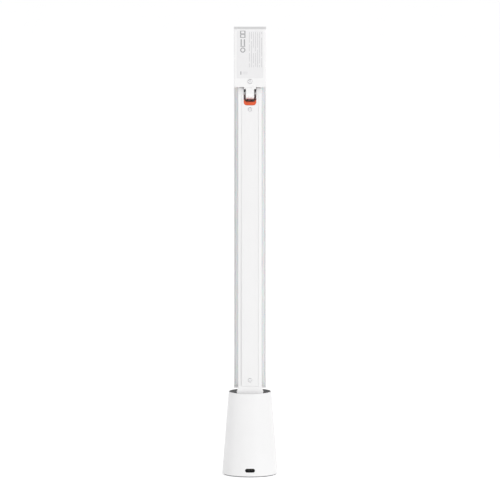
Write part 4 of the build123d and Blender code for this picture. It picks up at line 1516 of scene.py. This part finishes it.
    def build_tongue(self) -> None:
        """Builds the tongue: an eye round the pin, a neck and the plate inside the tail block."""
        low, high = span("hinge_tongue")
        half, radius, tail = self.tongue_half_mm, self.eye_mm, self.tail
        y, z = self.pin.y, self.pin.z
        eye = arc((y, low.z + radius), radius, 180.0, 360.0, 32)
        neck = [(y + 4.0, tail), (y + 4.0, tail + 3.0), (y - 4.2, tail + 3.0), (y - 4.2, tail)]
        outline = [*eye, (y + radius, z), *neck, (y - radius, z)]
        tongue = bar(outline, Axis.X, -half, half)
        side = (half - 0.01) * MM
        tongue.bevel(lambda edge: all(abs(v.co.x) > side for v in edge.verts), 0.6 * MM, 4)
        wide = self.shoulder_half_mm
        shoulder = block((-wide, y - 4.2, tail - 2.0), (wide, y + 4.0, tail))
        tongue.join(shoulder, block((low.x, y + 2.0, tail + 1.75), (high.x, y + 5.0, high.z)))
        tongue.cut(rod((y, z), self.pin_bore_mm, Axis.X, -half - 1.0, half + 1.0))
        Piece("tongue_casting", Body.HEAD, TONGUE_WHITE, ("hinge_tongue",), 0.12).build(tongue)

    def build_diffuser(self) -> None:
        """Builds the opal strip, its long edges rounded over."""
        low, high = self.opal
        strip = block(low, high)
        face = (low.y + 0.01) * MM
        strip.bevel(lambda edge: all(v.co.y < face for v in edge.verts), 0.45 * MM, 3)
        Piece("opal_strip", Body.HEAD, OPAL, ("diffuser",), 0.0).build(strip)


# ---- finishes on the CAD nodes that keep their own shape -------------------------------------------------


@dataclass(frozen=True)
class Insides:
    """The finishes of the CAD nodes that keep their shape."""

    dressed: tuple[tuple[Finish, tuple[str, ...]], ...] = (
        (HIDDEN_WHITE, ("base_bottom_cover",)),
        (IRON, ("counterweight",)),
        (SLEEVE_BLUE, ("battery_cell",)),
        (NICKEL, ("cell_tabs",)),
        (FOAM_BLACK, ("cell_pad",)),
        (BOARD_GREEN, ("main_board", "touch_sensor_board", "driver_board")),
        (CHIP_BLACK, ("board_components", "driver_components")),
        (SCREW_STEEL, ("board_screws", "base_cover_screws", "deck_screws", "foot_screws", "spine_screws")),
        (SCREW_STEEL, ("bracket_screws", "tongue_screws", "driver_screws", "hinge_nut")),
        (LENS_CLEAR, ("indicator_lenses",)),
        (RIBBON_AMBER, ("sensor_ribbon",)),
        (SPRING_STEEL, ("arm_spine", "hinge_bracket", "hinge_pin", "friction_washers")),
        (WIRE_RED, ("arm_wires", "head_wires")),
        (TRAY_WHITE, ("reflector",)),
        (BOARD_WHITE, ("led_board",)),
    )

    def dress(self) -> None:
        """Gives each node its finish."""
        chips = LedPackage("led_package", (0.93, 0.74, 0.16), first_mm=self.led_row_middle())
        for finish, nodes in (*self.dressed, (chips, ("led_chips",))):
            for name in nodes:
                mesh = frame["nodes"][name].data
                mesh.materials.clear()
                mesh.materials.append(material(finish))
                log.info("%s: %s", name, finish.name)

    @staticmethod
    def led_row_middle() -> float:
        """Returns the height of the middle of the row of LEDs in millimetres."""
        low, high = span("led_chips")
        return (low.z + high.z) / 2


# ---- studio --------------------------------------------------------------------------------------------


@dataclass(frozen=True)
class Softbox:
    """A soft light aimed at the middle of the lamp, with its place and size in metres."""

    name: str
    place: Triple
    size: Point
    watts: float


@dataclass
class Studio:
    """The pale floor, the soft lights and the camera."""

    target: Vector = field(default_factory=lambda: Vector((0.0, 0.0, 0.2110)))
    distance: float = 12.0
    elevation: float = 7.2
    frame_height: float = 0.4668
    sky: float = 0.82
    bright_side: Triple = (0.75, -0.66, 0.0)
    surround: tuple[tuple[float, ...], ...] = (
        (0.22, 0.22, 0.225, 1.0),
        (0.92, 0.92, 0.92, 1.0),
        (0.85, 0.85, 0.855, 1.0),
    )
    boxes: tuple[Softbox, ...] = (
        Softbox("key_right", (1.3, -1.6, 1.0), (0.3, 1.6), 8.0),
        Softbox("fill_left", (-1.75, -0.8, 0.7), (0.2, 1.6), 2.5),
        Softbox("top", (0.2, 0.1, 2.1), (1.4, 1.4), 4.0),
        Softbox("far_side", (1.1, 1.8, 1.1), (0.9, 1.4), 1.5),
    )

    def build(self) -> None:
        """Builds the studio."""
        self.build_floor()
        self.build_world()
        for box in self.boxes:
            self.build_light(box)
        self.build_camera()

    def build_floor(self) -> None:
        """Builds a wide pale floor."""
        mesh = bmesh.new()
        bmesh.ops.create_grid(mesh, x_segments=8, y_segments=8, size=60.0)
        data = bpy.data.meshes.new("studio_floor")
        mesh.to_mesh(data)
        mesh.free()
        floor = bpy.data.objects.new("studio_floor", data)
        bpy.context.scene.collection.objects.link(floor)
        graph = Graph("pale_floor", {"Specular IOR Level": 0.1, "Emission Strength": 0.40})
        mottle = graph.noise(60.0, 2.0)
        colour = graph.mix(mottle, (0.93, 0.93, 0.93), (0.95, 0.95, 0.95))
        graph.set("Base Color", colour)
        graph.set("Emission Color", colour)
        graph.set("Roughness", graph.between(mottle, 0.85, 0.95))
        data.materials.append(graph.material)

    def build_world(self) -> None:
        """Builds a surround that lights the lamp more from one side and looks white to the camera."""
        world = bpy.data.worlds.new("studio")
        world.use_nodes = True
        bpy.context.scene.world = world
        tree = world.node_tree
        tree.nodes.clear()
        output = tree.nodes.new("ShaderNodeOutputWorld")
        seen, given = (tree.nodes.new("ShaderNodeBackground") for _ in range(2))
        seen.inputs[0].default_value = (1.0, 1.0, 1.0, 1.0)
        given.inputs[1].default_value = self.sky
        coords = tree.nodes.new("ShaderNodeTexCoord")
        ramp = tree.nodes.new("ShaderNodeValToRGB")
        dark, bright, pale = self.surround
        ramp.color_ramp.elements[0].color = dark
        ramp.color_ramp.elements[1].color = bright
        ramp.color_ramp.elements.new(0.3).color = pale
        split = tree.nodes.new("ShaderNodeVectorMath")
        split.operation = "DOT_PRODUCT"
        split.inputs[1].default_value = self.bright_side
        spread = tree.nodes.new("ShaderNodeMapRange")
        spread.inputs[1].default_value = -1.0
        path = tree.nodes.new("ShaderNodeLightPath")
        choose = tree.nodes.new("ShaderNodeMixShader")
        links = (
            (coords.outputs["Generated"], split.inputs[0]),
            (split.outputs["Value"], spread.inputs[0]),
            (spread.outputs[0], ramp.inputs[0]),
            (ramp.outputs[0], given.inputs[0]),
            (path.outputs["Is Camera Ray"], choose.inputs[0]),
            (given.outputs[0], choose.inputs[1]),
            (seen.outputs[0], choose.inputs[2]),
            (choose.outputs[0], output.inputs[0]),
        )
        for source, sink in links:
            tree.links.new(source, sink)

    def build_light(self, box: Softbox) -> None:
        """Builds one soft light.

        Args:
            box: its place, size and power.
        """
        data = bpy.data.lights.new(box.name, "AREA")
        data.shape = "RECTANGLE"
        data.size, data.size_y = box.size
        data.energy = box.watts
        light = bpy.data.objects.new(box.name, data)
        light.location = box.place
        aim = self.target - Vector(box.place)
        light.rotation_euler = aim.to_track_quat("-Z", "Y").to_euler()
        light.visible_camera = False
        bpy.context.scene.collection.objects.link(light)

    def build_camera(self) -> None:
        """Builds the long-lens camera, level with the lamp's middle and a little above it."""
        data = bpy.data.cameras.new("camera")
        data.sensor_width = 36.0
        data.lens = data.sensor_width * self.distance / self.frame_height
        data.clip_end = 200.0
        camera = bpy.data.objects.new("camera", data)
        tilt = math.radians(self.elevation)
        away = Vector((0.0, -math.cos(tilt), math.sin(tilt)))
        camera.location = self.target + away * self.distance
        camera.rotation_euler = (-away).to_track_quat("-Z", "Y").to_euler()
        bpy.context.scene.collection.objects.link(camera)
        bpy.context.scene.camera = camera


def main() -> None:
    """Builds the studio and the lamp."""
    logging.basicConfig(level=logging.INFO, format="%(name)s: %(message)s")
    bpy.context.scene.view_settings.view_transform = "Standard"
    Studio().build()
    for assembly in (ConeBase(), Arm(), Head()):
        assembly.build()
    Insides().dress()
    bpy.context.view_layer.update()


if __name__ == "__main__":
    main()
